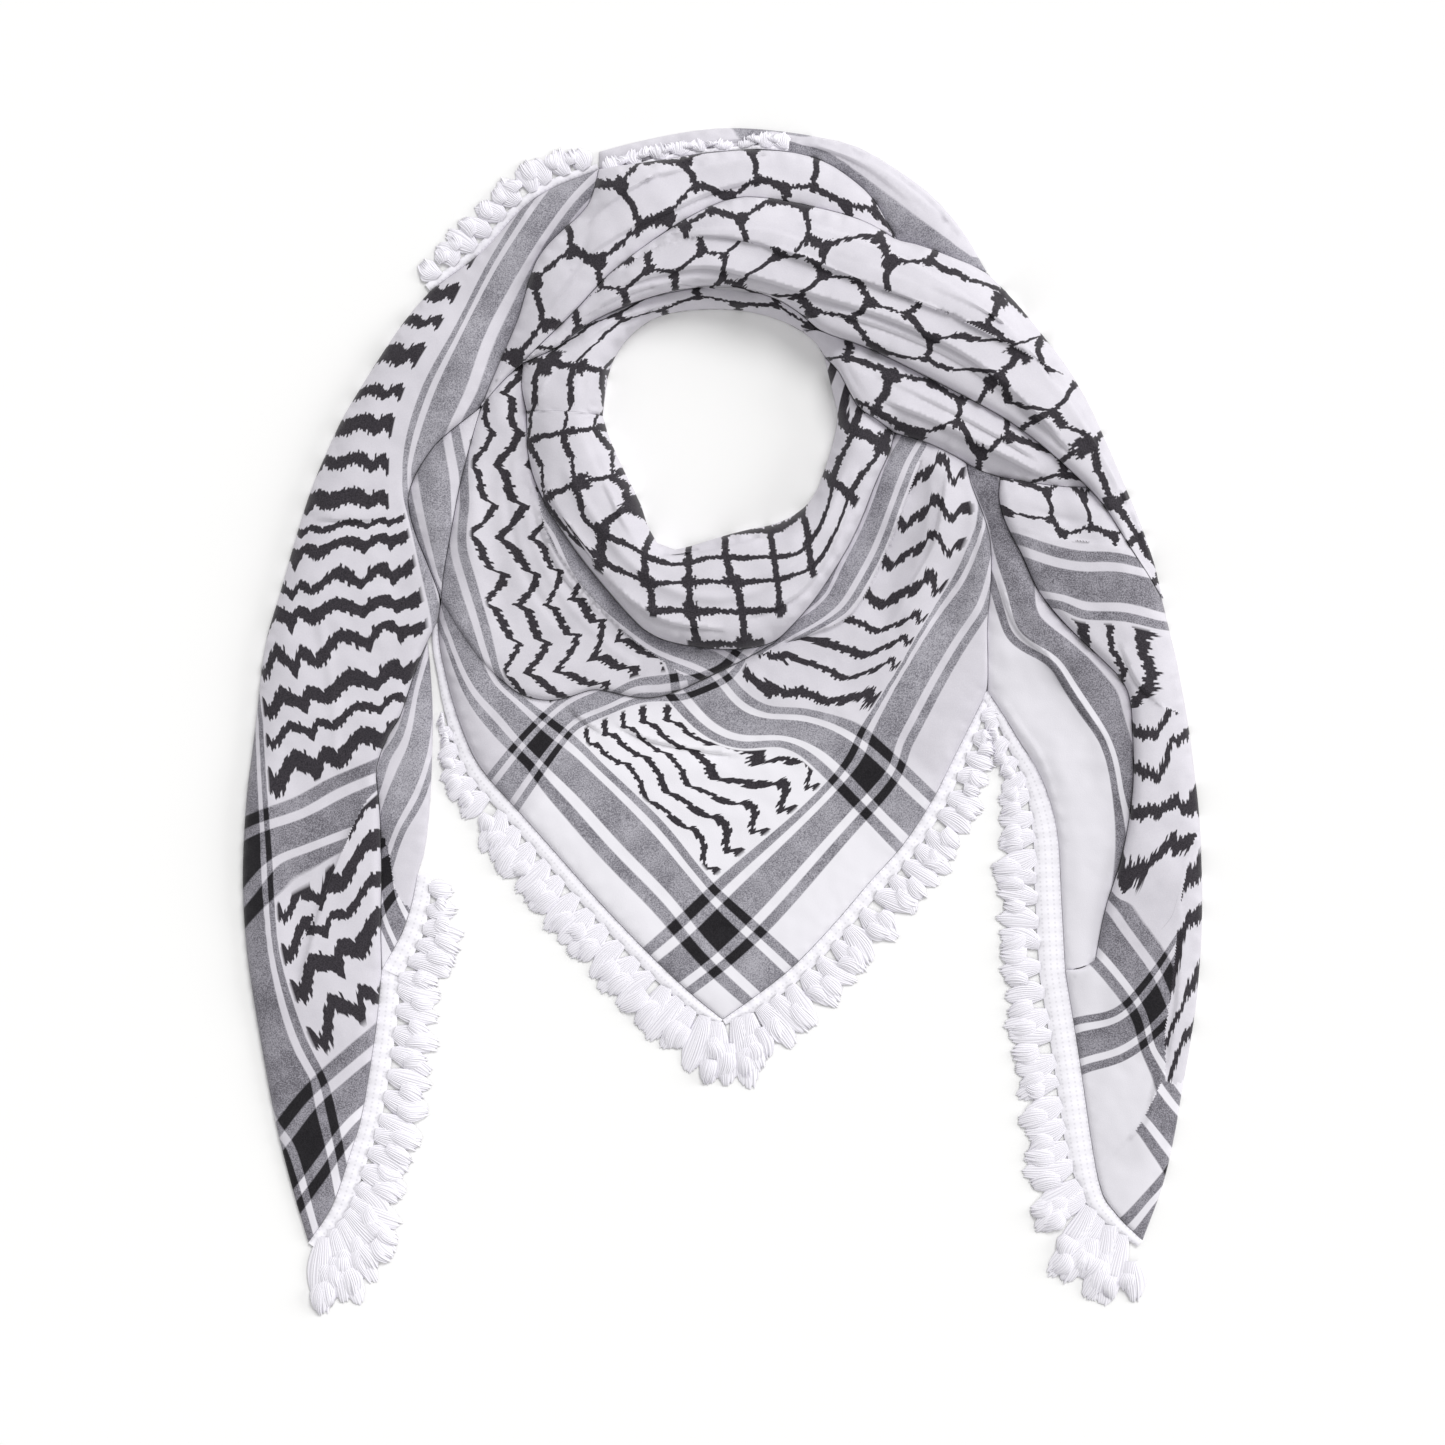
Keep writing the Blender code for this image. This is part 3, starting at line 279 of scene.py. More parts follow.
# The net's knots that show, in runs: the row of the net, how many half cells along it the
# run starts, and the x and y of one knot after another.
KNOTS = {
    "outer_winding": [
        (14, 18, -103, 178, -89, 196),
        (15, 19, -94, 216, -75, 232, -62, 225, -41, 244, -27, 248, -13, 264, 4, 258, 17, 267,
         31, 263, 45, 263, 62, 254, 76, 252),
        (16, 20, -79, 250), (16, 22, -51, 264), (16, 26, 15, 283), (16, 28, 48, 281),
        (16, 24, -19, 275)],
    "middle_top": [
        (17, 25, 1, 222, 12, 233, 30, 222, 43, 237, 50, 231, 79, 238, 83, 224, 103, 226,
         122, 216),
        (16, 31, 82, 202, 100, 196, 118, 199, 128, 189, 147, 188, 157, 185), (17, 35, 153, 199),
        (18, 28, 41, 253), (18, 26, 9, 246), (15, 36, 160, 171), (18, 32, 110, 238),
        (16, 27, 28, 212)],
    "middle_low": [
        (15, 25, 1, 217, 5, 213, 12, 208, 38, 208, 45, 200, 64, 197, 77, 181, 102, 177, 112, 171,
         139, 170, 141, 155, 165, 151, 169, 143, 187, 137, 185, 121, 198, 106, 200, 97, 210, 90,
         212, 78),
        (14, 33, 116, 161), (16, 32, 104, 186), (14, 31, 72, 172), (16, 38, 196, 152)],
    "lower_winding": [
        (16, 22, 85, 170, 104, 166, 119, 156), (16, 26, 141, 154),
        (15, 22, 76, 152, 97, 140, 117, 147, 129, 129, 142, 140, 169, 131), (14, 27, 171, 121),
        (16, 21, 62, 178), (15, 21, 60, 158), (14, 25, 127, 120)],
    "right_tail_net": [
        (15, 20, 165, 98, 169, 90, 184, 94.5, 196, 89, 203, 97),
        (16, 19, 151, 116, 162, 111, 170, 120, 180, 109, 188, 118), (15, 19, 139, 103)],
}

# Where a fold hides some cloth, the weave starts anew: the stretch's first map, then lines
# with the map that holds to their left.
SPLITS = {
    "left_tail_inner": ("left_tail_inner", [
        ([-148, -102, -157, -97, -162.5, -91, -165, -83, -166.5, -73, -169, -63, -174, -54],
         "left_tail_inner_fold")]),
    "bib_panel": ("bib_panel", [
        ([-60, 60, -10, 38, 15, 30, 27, 34.5, 38, 38, 51, 42.5, 64, 50, 73.5, 64, 82.5, 83.5,
         90, 103, 99, 127, 103, 140], "bib_shoulder")]),
    "bib_swag": ("bib_swag", [
        ([-97, 160, -94, 125, -88, 92, -72, 66, -50, 42, -34, 30, -20, 20], "bib_swag_upper")]),
    "middle_winding": ("middle_top", [
        ([175, 168, 160, 175, 114, 198, 74, 213, 39, 228, 19, 233, -11, 237, -36, 231, -58, 214,
         -80, 200], "middle_low")]),
    "left_tail_front": ("left_tail_front", [
        ([-160, -18, -172, -33, -184, -54, -190, -68, -200, -92, -206, -104, -216, -124,
         -224, -142], "left_tail_fold")]),
    "right_tail_front": ("right_tail_lower", [
        ([170, 8, 202, 3, 212, 6, 224, 3, 234, -2, 250, -8], "right_tail_upper"),
        ([120, 100, 150, 92, 170, 88, 190, 85.5, 215, 81, 240, 76], "right_tail_net"),
        ([241, -52, 235, -66, 232, -78, 229.5, -92, 229.5, -100, 227.5, -107, 227, -115,
         226, -125, 224.5, -138, 223, -150, 221.5, -160, 222, -178, 221, -186],
         "right_tail_side"),
        ([260, -150, 231, -183, 221, -183, 217, -190, 211, -202, 204, -212, 190, -225,
         170, -238], "right_tail_tip")]),
}

# Where one side of a fold stands clear of the other, by stretch.
LAPS = {
    "outer_winding": [
        [-50, 262, -25, 270, 0, 275, 22, 279]],
    "middle_winding": [
        [-58, 214, -36, 231, -11, 237, 19, 233, 74, 213, 114, 198, 160, 175],
        [-62, 206, -41, 216, -11, 222, 15, 217, 45, 208, 80, 197, 110, 184, 135, 168, 168, 138]],
    "bib_swag": [
        [-94, 125, -88, 92, -72, 66, -50, 42, -34, 30]],
    "right_tail_front": [
        [198, 36, 207, 16, 222, 2]],
    "left_tail_front": [
        [-206, 98, -190, 97, -170, 97], [-180, -42, -190, -66, -202, -98, -213, -138]],
    "back_edge": [
        [-30, 285, 10, 289, 60, 280, 100, 252]],
}

# Creases finer than the CAD's, by stretch: lap (the left side of the line steps up) or
# soft, the height, how far it spreads, and the line.
CREASES = {
    "front_roll": [
        ("lap", 1.8, 5, [-93, 122, -78, 94, -56, 66, -30, 47, 0, 42]),
        ("soft", 1.2, 2.4, [-80, 125, -64, 98, -44, 74, -18, 60, 12, 60, 40, 76]),
        ("lap", 1.5, 4, [-62, 122, -50, 96, -36, 80, -10, 82, 18, 88]),
        ("lap", 1.6, 4, [14, 48, 40, 62, 58, 90, 68, 122]),
        ("soft", 1.0, 2.0, [10, 66, 36, 76, 52, 98, 62, 128]),
        ("soft", -1.0, 1.6, [-70, 148, -62, 126, -50, 104, -42, 92])],
    "inner_winding": [
        ("lap", 1.8, 4, [-93, 158, -84, 172, -70, 184, -50, 197, -20, 207]),
        ("soft", -1.2, 1.8, [-70, 152, -68, 170, -58, 186])],
    "outer_winding": [
        ("lap", 2.2, 6, [-66, 246, -48, 260, -28, 271, -4, 281]),
        ("lap", 1.6, 5, [-76, 222, -52, 238, -25, 251, 0, 262, 30, 268]),
        ("soft", -1.2, 2.0, [-100, 190, -86, 204, -72, 224, -66, 244]),
        ("lap", 1.6, 4, [-106, 178, -92, 192, -80, 208, -66, 226])],
    "middle_winding": [
        ("lap", 1.8, 6, [-50, 228, -20, 240, 20, 241, 64, 226, 120, 205, 150, 188]),
        ("lap", 1.4, 5, [40, 245, 85, 229, 125, 205, 158, 176, 185, 140]),
        ("lap", 1.6, 5, [50, 201, 85, 190, 118, 175, 150, 153, 176, 128]),
        ("lap", 1.8, 5, [160, 172, 182, 142, 202, 106, 213, 78]),
        ("soft", 1.0, 2.0, [175, 150, 194, 122, 208, 90]),
        ("lap", 1.5, 4, [-72, 196, -48, 209, -20, 215, 10, 215, 36, 207])],
    "lower_winding": [
        ("lap", 1.8, 5, [68, 172, 95, 160, 125, 145, 160, 125]),
        ("lap", 1.5, 4, [80, 156, 105, 146, 136, 131, 162, 118]),
        ("soft", -1.0, 1.6, [58, 182, 64, 168, 72, 156])],
    "bib_swag": [
        ("soft", -1.0, 2.0, [-104, 140, -108, 110, -102, 80, -90, 56, -72, 38]),
        ("lap", 1.6, 4, [-99, 148, -97, 120, -92, 96, -80, 70, -60, 48]),
        ("soft", 0.9, 2.4, [-98, 110, -94, 86, -80, 60, -58, 36, -40, 22])],
    "bib_panel": [
        ("lap", 1.2, 3, [-81, 8, -71, -2, -59, -10]),
        ("lap", 1.2, 4, [-54, -5, -36, -13, -11, -18, 11, -21]),
        ("lap", 2.2, 5, [27, 35, 51, 43, 64, 50, 73.5, 64, 82.5, 83.5, 90, 103, 99, 127]),
        ("soft", 1.0, 2.0, [104, 124, 103, 98, 95, 68, 80, 36]),
        ("lap", 1.4, 4, [112, 126, 109, 104, 104, 84, 92, 62]),
        ("soft", -1.0, 1.8, [126, 118, 127, 94, 122, 66, 112, 36])],
    "right_tail_front": [
        ("soft", -0.9, 1.8, [150, 104, 168, 98, 184, 96]),
        ("lap", 1.2, 4, [231, -100, 228, -125, 227, -145, 222, -178]),
        ("lap", 1.0, 4, [229, -190, 219, -179, 213, -202, 204, -212])],
    "right_tail_inner": [
        ("lap", 1.4, 4, [138, 66, 147, 44, 162, 29, 178, 6, 192, -14]),
        ("soft", 0.8, 1.4, [138, 10, 146, -3, 157, -18, 164, -36, 167, -60])],
    "back_edge": [
        ("lap", 1.2, 3, [-50, 276, -18, 284, 10, 288, 40, 289]),
        ("lap", 1.4, 3, [30, 291, 62, 285, 92, 268, 124, 238]),
        ("lap", 1.2, 3, [48, 286, 78, 274, 104, 255, 128, 232])],
    "left_tail_front": [
        ("soft", -0.7, 1.8, [-206, 98, -188, 96, -165, 98]),
        ("soft", 0.6, 2.4, [-205, 60, -196, 20, -192, -30])],
}

# Hems that carry fringe.
HEMS = {
    "hem_top_left": [-147, 213, -121, 232.5, -102, 253, -86, 264.5, -62, 274],
    "hem_inner": [-153, -80, -156, -95, -161, -110, -171, -128],
    "hem_left_tail": [-171, -128, -174, -158, -179, -190, -182, -205, -188, -224, -196, -247,
     -208, -265],
    "hem_bib_left": [-143, 46, -142, 34, -139, 20, -135, 5, -129, -12, -121, -27.5, -101, -50,
     -81, -72.5, -61, -95, -37, -120, -17, -139, 0, -153],
    "hem_bib_right": [133, 12, 121, -12, 113.5, -27, 106, -42, 91, -65, 74, -84, 57, -104,
     36, -126, 17, -141, 0, -153],
    "hem_right_inner": [172, -128, 170, -90, 168.5, -62, 165, -45, 158, -27, 150, -15, 141, 0,
     133, 12],
    "hem_top_back": [-58, 268, -46, 273, -30, 278, -10, 281.5, 8, 283, 20, 283.5, 33, 282.5],
    "hem_right_tail": [172, -128, 178.5, -168.5, 188.5, -233, 197, -250, 211, -264],
}
# The fringe along hems, a hem with a minus taken backwards: the side of the line that it hangs
# on (1 is left), how much stays bare at its start and its end, the sheet that carries it, and
# its height over the floor. Its rows: share of the way along, width of the tape, length of the
# loops and their lean in degrees.
FRINGES = {
    "fringe_top_left": {
        "hems": ["hem_top_left"], "side": 1, "start": 3, "end": 2, "cloth": "left_tail",
        "rows": [(0.00, 4, 10, 0), (0.30, 4, 15, 0), (0.85, 4, 13, 0), (1.00, 3, 8, 0)]},
    "fringe_top_back": {
        "hems": ["hem_top_back"], "side": 1, "start": 1, "end": 0.5, "cloth": "left_tail",
        "lift": 5.4,
        "rows": [(0.00, 2, 8, 0), (0.30, 2, 6, 0), (0.60, 2, 4.5, 0), (0.75, 2, 3.5, 0),
                 (0.83, 2, 7, 0), (1.00, 2, 7, 0)]},
    "fringe_left_tail": {
        "hems": ["hem_inner", "hem_left_tail"], "side": 1, "start": 1, "end": 0.5,
        "cloth": "left_tail",
        "rows": [(0.00, 7, 8, 0), (0.08, 9, 13, 0), (0.15, 10, 20, 0), (0.60, 10, 21, 0),
                 (0.75, 9, 22, -6), (0.85, 9, 25, -22), (0.94, 7, 37, -45),
                 (1.00, 4, 30, -60)]},
    "fringe_bib_left": {
        "hems": ["hem_bib_left"], "side": -1, "start": 26, "end": 0.5, "cloth": "bib",
        "rows": [(0.00, 3, 2, 0), (0.10, 4, 2, 0), (0.21, 6, 5, 0), (0.29, 7, 12, 0),
                 (0.40, 7, 20, 0), (0.85, 7, 22, 0), (0.95, 6, 25, 18), (1.00, 3, 29, 34)]},
    "fringe_bib_right": {
        "hems": ["hem_bib_right"], "side": 1, "start": 8, "end": 0.5, "cloth": "bib",
        "rows": [(0.00, 3, 4, 0), (0.07, 4, 8, 0), (0.15, 6, 13, 0), (0.28, 7, 17, 0),
                 (0.42, 7, 20, 0), (0.85, 7, 22, 0), (0.93, 6, 24, -13),
                 (0.97, 4, 34, -26), (1.00, 3, 35, -34)]},
    "fringe_right_tail": {
        "hems": ["-hem_right_inner", "hem_right_tail"], "side": -1, "start": 10, "end": 0.5,
        "cloth": "right_tail",
        "rows": [(0.00, 4, 3, 0), (0.07, 5, 7, 0), (0.15, 8, 12, 0), (0.25, 12, 17, 0),
                 (0.34, 13, 20, 0), (0.82, 13, 20, 0), (0.88, 10, 26, 12), (0.94, 7, 40, 28),
                 (1.00, 4, 29, 30)]},
}
TAPE_ACROSS = (0.0, 0.06, 0.5, 0.94, 1.0)   # a tape's points, as shares of its width
TAPE_HEIGHTS = (1.3, 1.7, 1.6, 1.7, 1.0)
RIPPLE, RIPPLE_RATE = 0.15, 0.9             # its slight waves
BUNDLE_PITCH = 11.3       # spacing of the long bundles; a short one lies between each two
BUNDLE_HALF = 6.4         # half of a long bundle's width
BUNDLE_TURN = 0.3         # how far one may turn aside, in radians
LEAST_LENGTH = 4.0        # loops shorter than this are left out
LONG = 27.0               # a bundle longer than this carries another one on top
MOST_FAN = 2.2            # how much the bundles crowd where the tips fan out, at most
STRANDS = 11              # yarns side by side in a bundle
STRAND_COLUMNS = 4
BUNDLE_ROWS = 14
GROOVE = 0.5              # how far the yarns stand out of a bundle
FLOOR_EDGE = 0.5          # lowest height of a bundle
YARN_REACH = (-1.8, 1.4)  # how far a single yarn falls short or reaches out
YARN_BOW, BOW, SKEW = 0.5, 1.8, 2.2     # how far yarns bow, and bundles bow and lean
TIP_ROUND, TIP_POWER = 0.34, 2.6        # how a bundle's outer yarns fall short
OPENS_BY, TIP_NARROW = 1.3, 0.22        # how soon it opens out, and how its tip closes
CROWN_START, CROWN_RUN, CROWN_POWER = 0.22, 0.78, 0.6    # its rise and fall along
# The kinds of bundle: how far along the loops it starts, its length and its width, as shares
# or from and to, then how narrow its root is and how high it stands.
KINDS = {
    "long": (0, 1, (0.9, 1.12), 0.45, 2.4),
    "short": (0.34, (0.5, 0.66), (0.72, 0.92), 0.6, 3.4),
    "on top": ((0.42, 0.62), (0.3, 0.42), (0.6, 0.8), 0.8, 4.2),
}
# A bundle's length as a share of the loops' there, and how its width grows with it.
REACH_SHARE, REACH_MORE = (0.94, 1.1), 1.0
HALF_LEAST, HALF_GROWS, HALF_FROM, HALF_AT = 0.65, 0.35, 12.0, 20.0


# ---------------------------------------------------------------- plan geometry
def smooth_line(points):
    """A smooth line through the points."""
    p = np.reshape(points, (-1, 2)).astype(float)
    ends = np.vstack([2 * p[0] - p[1], p, 2 * p[-1] - p[-2]])
    line = []
    for i in range(len(p) - 1):
        a, b, c, d = ends[i:i + 4]
        for k in range(LINE_STEPS):
            t = k / LINE_STEPS
            line.append(0.5 * (2 * b + (c - a) * t + (2 * a - 5 * b + 4 * c - d) * t ** 2
                               + (3 * b - a - 3 * c + d) * t ** 3))
    return np.array(line + [p[-1]])


def resampled(line, step, closed=False):
    """The line's points at an even spacing."""
    if closed:
        line = np.vstack([line, line[:1]])
    along = run_along(line)
    count = max(int(round(along[-1] / step)), 2)
    where = np.linspace(0, along[-1], count + 1)
    return on_line(line, along, where[:-1] if closed else where)


def run_along(line):
    """How far along the line each of its points lies."""
    return np.concatenate([[0], np.cumsum(np.hypot(*np.diff(line, axis=0).T))])


def on_line(line, along, where):
    """The points of a line that lie this far along it."""
    return np.column_stack([np.interp(where, along, line[:, k]) for k in (0, 1)])


def left_of(run):
    """The unit direction to the left of each run."""
    run = run / np.maximum(np.hypot(*run.T), TINY)[:, None]
    return np.column_stack([-run[:, 1], run[:, 0]])


def turned(way, cos, sin):
    """A direction, or a column of them, turned counter-clockwise."""
    x, y = way.T
    return np.array([x * cos - y * sin, x * sin + y * cos]).T


def eased(loop):
    """A closed row of values, each drawn towards its two neighbours."""
    return 0.5 * loop + 0.25 * (np.roll(loop, 1, axis=0) + np.roll(loop, -1, axis=0))


def beside(points, line):
    """Each point's distance from the line, the side it lies on and how far along it."""
    a, b = line[:-1], line[1:]
    run = b - a
    length = np.hypot(*run.T)
    start = np.concatenate([[0], np.cumsum(length)])
    away, side, along = [], [], []
    for first in range(0, len(points), CHUNK):
        rel = points[first:first + CHUNK, None] - a[None]
        t = np.clip((rel * run).sum(2) / length ** 2, 0, 1)
        d2 = ((rel - t[..., None] * run) ** 2).sum(2)
        k = d2.argmin(1)
        rows = np.arange(len(k))
        cross = run[k, 0] * rel[rows, k, 1] - run[k, 1] * rel[rows, k, 0]
        away.append(np.sqrt(d2[rows, k]))
        side.append(np.where(cross >= 0, 1.0, -1.0))
        along.append(start[k] + t[rows, k] * length[k])
    return np.concatenate(away), np.concatenate(side), np.concatenate(along), start[-1]


def inside(points, loop):
    """Which points lie inside a closed loop."""
    a, b = loop, np.roll(loop, -1, axis=0)
    found = np.zeros(len(points), bool)
    for first in range(0, len(points), CHUNK):
        x, y = points[first:first + CHUNK].T[..., None]
        spans = (a[:, 1] > y) != (b[:, 1] > y)
        with np.errstate(divide="ignore", invalid="ignore"):
            cut = a[:, 0] + (y - a[:, 1]) * (b[:, 0] - a[:, 0]) / (b[:, 1] - a[:, 1])
        found[first:first + CHUNK] = ((spans & (x < cut)).sum(1) % 2) == 1
    return found


class Spread:
    """A smooth surface through the values on threads: a thin plate, slightly relaxed."""
    RELAX, SPACING = 0.003, 9.0      # how much, and the spacing of points along a thread
    UNIT, AT_ONCE = 100, 4000        # its unit of length, and points worked on at a time

    def __init__(self, threads):
        at, value = [], []
        for number, *line in threads:
            line = np.reshape(line, (-1, 2)).astype(float)
            if len(line) > 1:
                line = resampled(smooth_line(line), self.SPACING)
            at.append(line)
            value += [number] * len(line)
        self.at = np.vstack(at)
        self.middle = self.at.mean(0)
        n = len(self.at)
        system = np.zeros((n + 3, n + 3))
        system[:n, :n] = self.bend(self.at) + self.RELAX * np.eye(n)
        system[:n, n:] = self.slope(self.at)
        system[n:, :n] = system[:n, n:].T
        self.weights = np.linalg.lstsq(system, np.array(value + [0, 0, 0], float),
                                       rcond=1e-10)[0]

    def bend(self, points):
        r2 = ((points[:, None] - self.at[None]) ** 2).sum(2) / self.UNIT ** 2
        return 0.5 * r2 * np.log(r2 + 1e-9)

    def slope(self, points):
        return np.column_stack([np.ones(len(points)), (points - self.middle) / self.UNIT])

    def __call__(self, points):
        out = []
        for first in range(0, len(points), self.AT_ONCE):
            some = points[first:first + self.AT_ONCE]
            out.append(np.hstack([self.bend(some), self.slope(some)]) @ self.weights)
        return np.concatenate(out)


# ---------------------------------------------------------------- the CAD's form
def cad_mesh(node):
    """A node's points in mm, merged where they meet, and its triangles."""
    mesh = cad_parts[node].data
    mesh.calc_loop_triangles()
    index, kept, found = [], [], {}
    for v in mesh.vertices:
        key = tuple(round(c / MM, 3) for c in v.co)
        if key not in found:
            found[key] = len(kept)
            kept.append(key)
        index.append(found[key])
    return kept, [tuple(index[i] for i in t.vertices) for t in mesh.loop_triangles]


CAD = {}
for cad_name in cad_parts:
    cad_points, cad_triangles = cad_mesh(cad_name)
    CAD[cad_name] = (cad_points, cad_triangles,
                     BVHTree.FromPolygons(cad_points, cad_triangles))


def underside(node):
    """The triangles that a node stands on."""
    points, triangles, _ = CAD[node]
    return [t for t in triangles if all(points[i][2] < ON_FLOOR for i in t)]


def floor_loop(node):
    """The outline of a node's flat underside, counter-clockwise from above."""
    once = {}
    for t in underside(node):
        for a, b in zip(t, t[1:] + t[:1]):
            if (b, a) in once:
                del once[(b, a)]
            else:
                once[(a, b)] = True
    follow = {b: a for a, b in once}
    start = next(iter(follow))
    loop, at = [start], follow[start]
    while at != start:
        loop.append(at)
        at = follow[at]
    line = np.array([CAD[node][0][i][:2] for i in loop])
    area = np.cross(line, np.roll(line, -1, axis=0)).sum()
    return line if area > 0 else line[::-1]


def top_of(node, points, miss=None):
    """Height of a node's top under each point; past its edge, miss or the nearest height."""
    tree = CAD[node][2]
    heights = []
    for x, y in points:
        hit = tree.ray_cast((x, y, RAYS_FROM), (0, 0, -1))[0]
        if hit is None and miss is None:
            hit = tree.find_nearest((x, y, NEAREST_TO))[0]
        heights.append(miss if hit is None else hit[2])
    return np.array(heights)


def rounded_loop(line):
    """The outline at an even spacing, its slight corners smoothed away."""
    before, after = np.roll(line, 1, axis=0), np.roll(line, -1, axis=0)
    turn = np.abs((np.arctan2(*(after - line).T[::-1]) - np.arctan2(*(line - before).T[::-1])
                   + math.pi) % (2 * math.pi) - math.pi)
    loop = resampled(line, RIM_STEP, closed=True)
    fixed = np.zeros(len(loop), bool)
    for corner in line[turn > CORNER]:
        nearest = ((loop - corner) ** 2).sum(1).argmin()
        loop[nearest] = corner
        fixed[nearest] = True
    for _ in range(RIM_ROUNDS):
        loop = np.where(fixed[:, None], loop, eased(loop))
    for join in JOINS:
        seam = smooth_line(join)
        away, _, along, _ = beside(loop, seam)
        loop = np.where((away < SNAP)[:, None], on_line(seam, run_along(seam), along), loop)
    return loop


# ---------------------------------------------------------------- shells
def weave_of(node, flat, corners):
    """p and q at each corner of a stretch's triangles."""
    first, splits = SPLITS.get(node, (node, []))
    middle = flat[corners].mean(1)
    weave = chart(first, flat)[corners]
    for line, name in splits:
        left = beside(middle, smooth_line(line))[1] > 0
        if left.any():
            weave[left] = chart(name, flat)[corners[left]]
    return weave.reshape(-1, 2)


def chart(name, points):
    """p and q by one map."""
    threads = THREADS.get(name, ([], []))
    for row, first, *places in KNOTS.get(name, []):
        for half, (x, y) in enumerate(zip(places[::2], places[1::2]), first):
            swing = NET_ZIGZAG if (row + half) % 2 else -NET_ZIGZAG
            threads[0].append((NET_HIGH * (row + swing), x, y))
            threads[1].append((NET_WIDE / 2 * half, x, y))
    return np.stack([Spread(t)(points) for t in threads], 1)


def lap_lines(node):
    """The lines across a stretch that its triangles keep to."""
    return (LAPS.get(node, []) + [line for kind, _, _, line in CREASES.get(node, [])
                                  if kind == "lap"]
            + [line for line, _ in SPLITS.get(node, (node, []))[1]])


def laid_out(node, loop, into, closed):
    """A stretch's points and triangles in plan, and the rows of points beside its laps."""
    count = len(loop)
    points = [loop]
    edges = [(i, (i + 1) % count) for i in range(count)]
    for depth in RINGS:
        ring = loop + into * depth
        points.append(ring[(beside(ring, closed)[0] > RING_KEPT * depth) & inside(ring, loop)])
    laps = []
    for line in lap_lines(node):
        lap = resampled(smooth_line(line), RIM_STEP)
        aside = LAP_GAP * left_of(np.gradient(lap, axis=0))
        for row in (lap + aside, lap - aside):
            row = row[inside(row, loop) & (beside(row, closed)[0] > RINGS[-1])]
            first = sum(len(p) for p in points)
            points.append(row)
            edges += [(first + i, first + i + 1) for i in range(len(row) - 1)]
            laps.append(row)
    low, high = loop.min(0), loop.max(0)
    grid = np.array([(x + (j % 2) * STEP / 2, y)
                     for j, y in enumerate(np.arange(low[1], high[1], STEP * math.sqrt(3) / 2))
                     for x in np.arange(low[0], high[0], STEP)])
    grid = grid[inside(grid, loop)]
    grid = grid[beside(grid, closed)[0] > RINGS[-1] + 0.5 * STEP]
    for row in laps:
        if len(row) > 1:
            grid = grid[beside(grid, row)[0] > LAP_FREE * STEP]
    flat = np.vstack(points + [grid])
    verts, _, faces, _, _, _ = delaunay_2d_cdt(
        [tuple(p) for p in flat], edges, [list(range(count))], 1, MERGED)
    return np.array([v[:] for v in verts]), [f for f in faces if len(f) == 3], laps


def rim_radius(node, loop, into, inner_height):
    """How far the cloth rounds down along its outline, on the floor or on other cloth."""
    beyond = np.full(len(loop), NOTHING)
    for other in CAD:
        if other != node and not other.startswith("fringe"):
            beyond = np.maximum(beyond, top_of(other, loop - JUST_OUT * into, miss=NOTHING))
    step = inner_height - beyond
    radius = np.where(beyond < 0, np.minimum(FREE_RADIUS, FREE_SHARE * inner_height),
                      np.clip(step, 0, OVER_RADIUS))
    radius = np.where((beyond >= 0) & (step < FLUSH), 0.0, radius)
    for _ in range(RADIUS_ROUNDS):
        radius = eased(radius)
    return radius


def shell(node):
    """A stretch's cloth: its points, triangles and weave."""
    loop = rounded_loop(floor_loop(node))
    into = left_of(np.roll(loop, -1, axis=0) - np.roll(loop, 1, axis=0))
    count = len(loop)
    closed = np.vstack([loop, loop[:1]])
    flat, faces, laps = laid_out(node, loop, into, closed)
    inner_height = top_of(node, loop + JUST_IN * into)
    radius = rim_radius(node, loop, into, inner_height)

    height = top_of(node, flat)
    height[:count] = inner_height
    height = smoothed(flat, faces, height, count, laps, SOFTER.get(node, SMOOTHINGS))
    away, _, along, total = beside(flat, closed)
    at_rim = np.interp(along, np.linspace(0, total, count + 1), np.append(radius, radius[0]))
    share = np.clip(1 - away / np.maximum(at_rim, LEAST_ROUND), 0, 1)
    drop = at_rim * (1 - np.sqrt(np.maximum(1 - share ** 2, 0)))
    for row in CREASES.get(node, []):
        height = height + crease(flat, *row) * np.clip(away / CREASE_RIM, 0, 1)
    calm = np.clip(away / RUMPLE_RIM, 0, 1) * np.clip(height / RUMPLE_FULL, RUMPLE_LEAST, 1)
    height = height + calm * np.array(
        [sum(lift * noise.noise((x / size, y / size, seed)) for lift, size, seed in RUMPLES)
         for x, y in flat])
    height = np.maximum(height - drop, FLOOR_CLEAR + LEAST_WALL)

    solid = np.vstack([np.column_stack([flat, height]),
                       np.column_stack([loop + SKIRT_IN * into, np.full(count, FLOOR_CLEAR)])])
    first = len(flat)
    for i in range(count):
        j = (i + 1) % count
        faces += [(j, i, first + i), (j, first + i, first + j)]
    # the cloth goes on down the walls
    unrolled = np.vstack([flat, loop - into * np.maximum(height[:count, None], 0)])
    return solid, faces, weave_of(node, unrolled, np.array(faces))


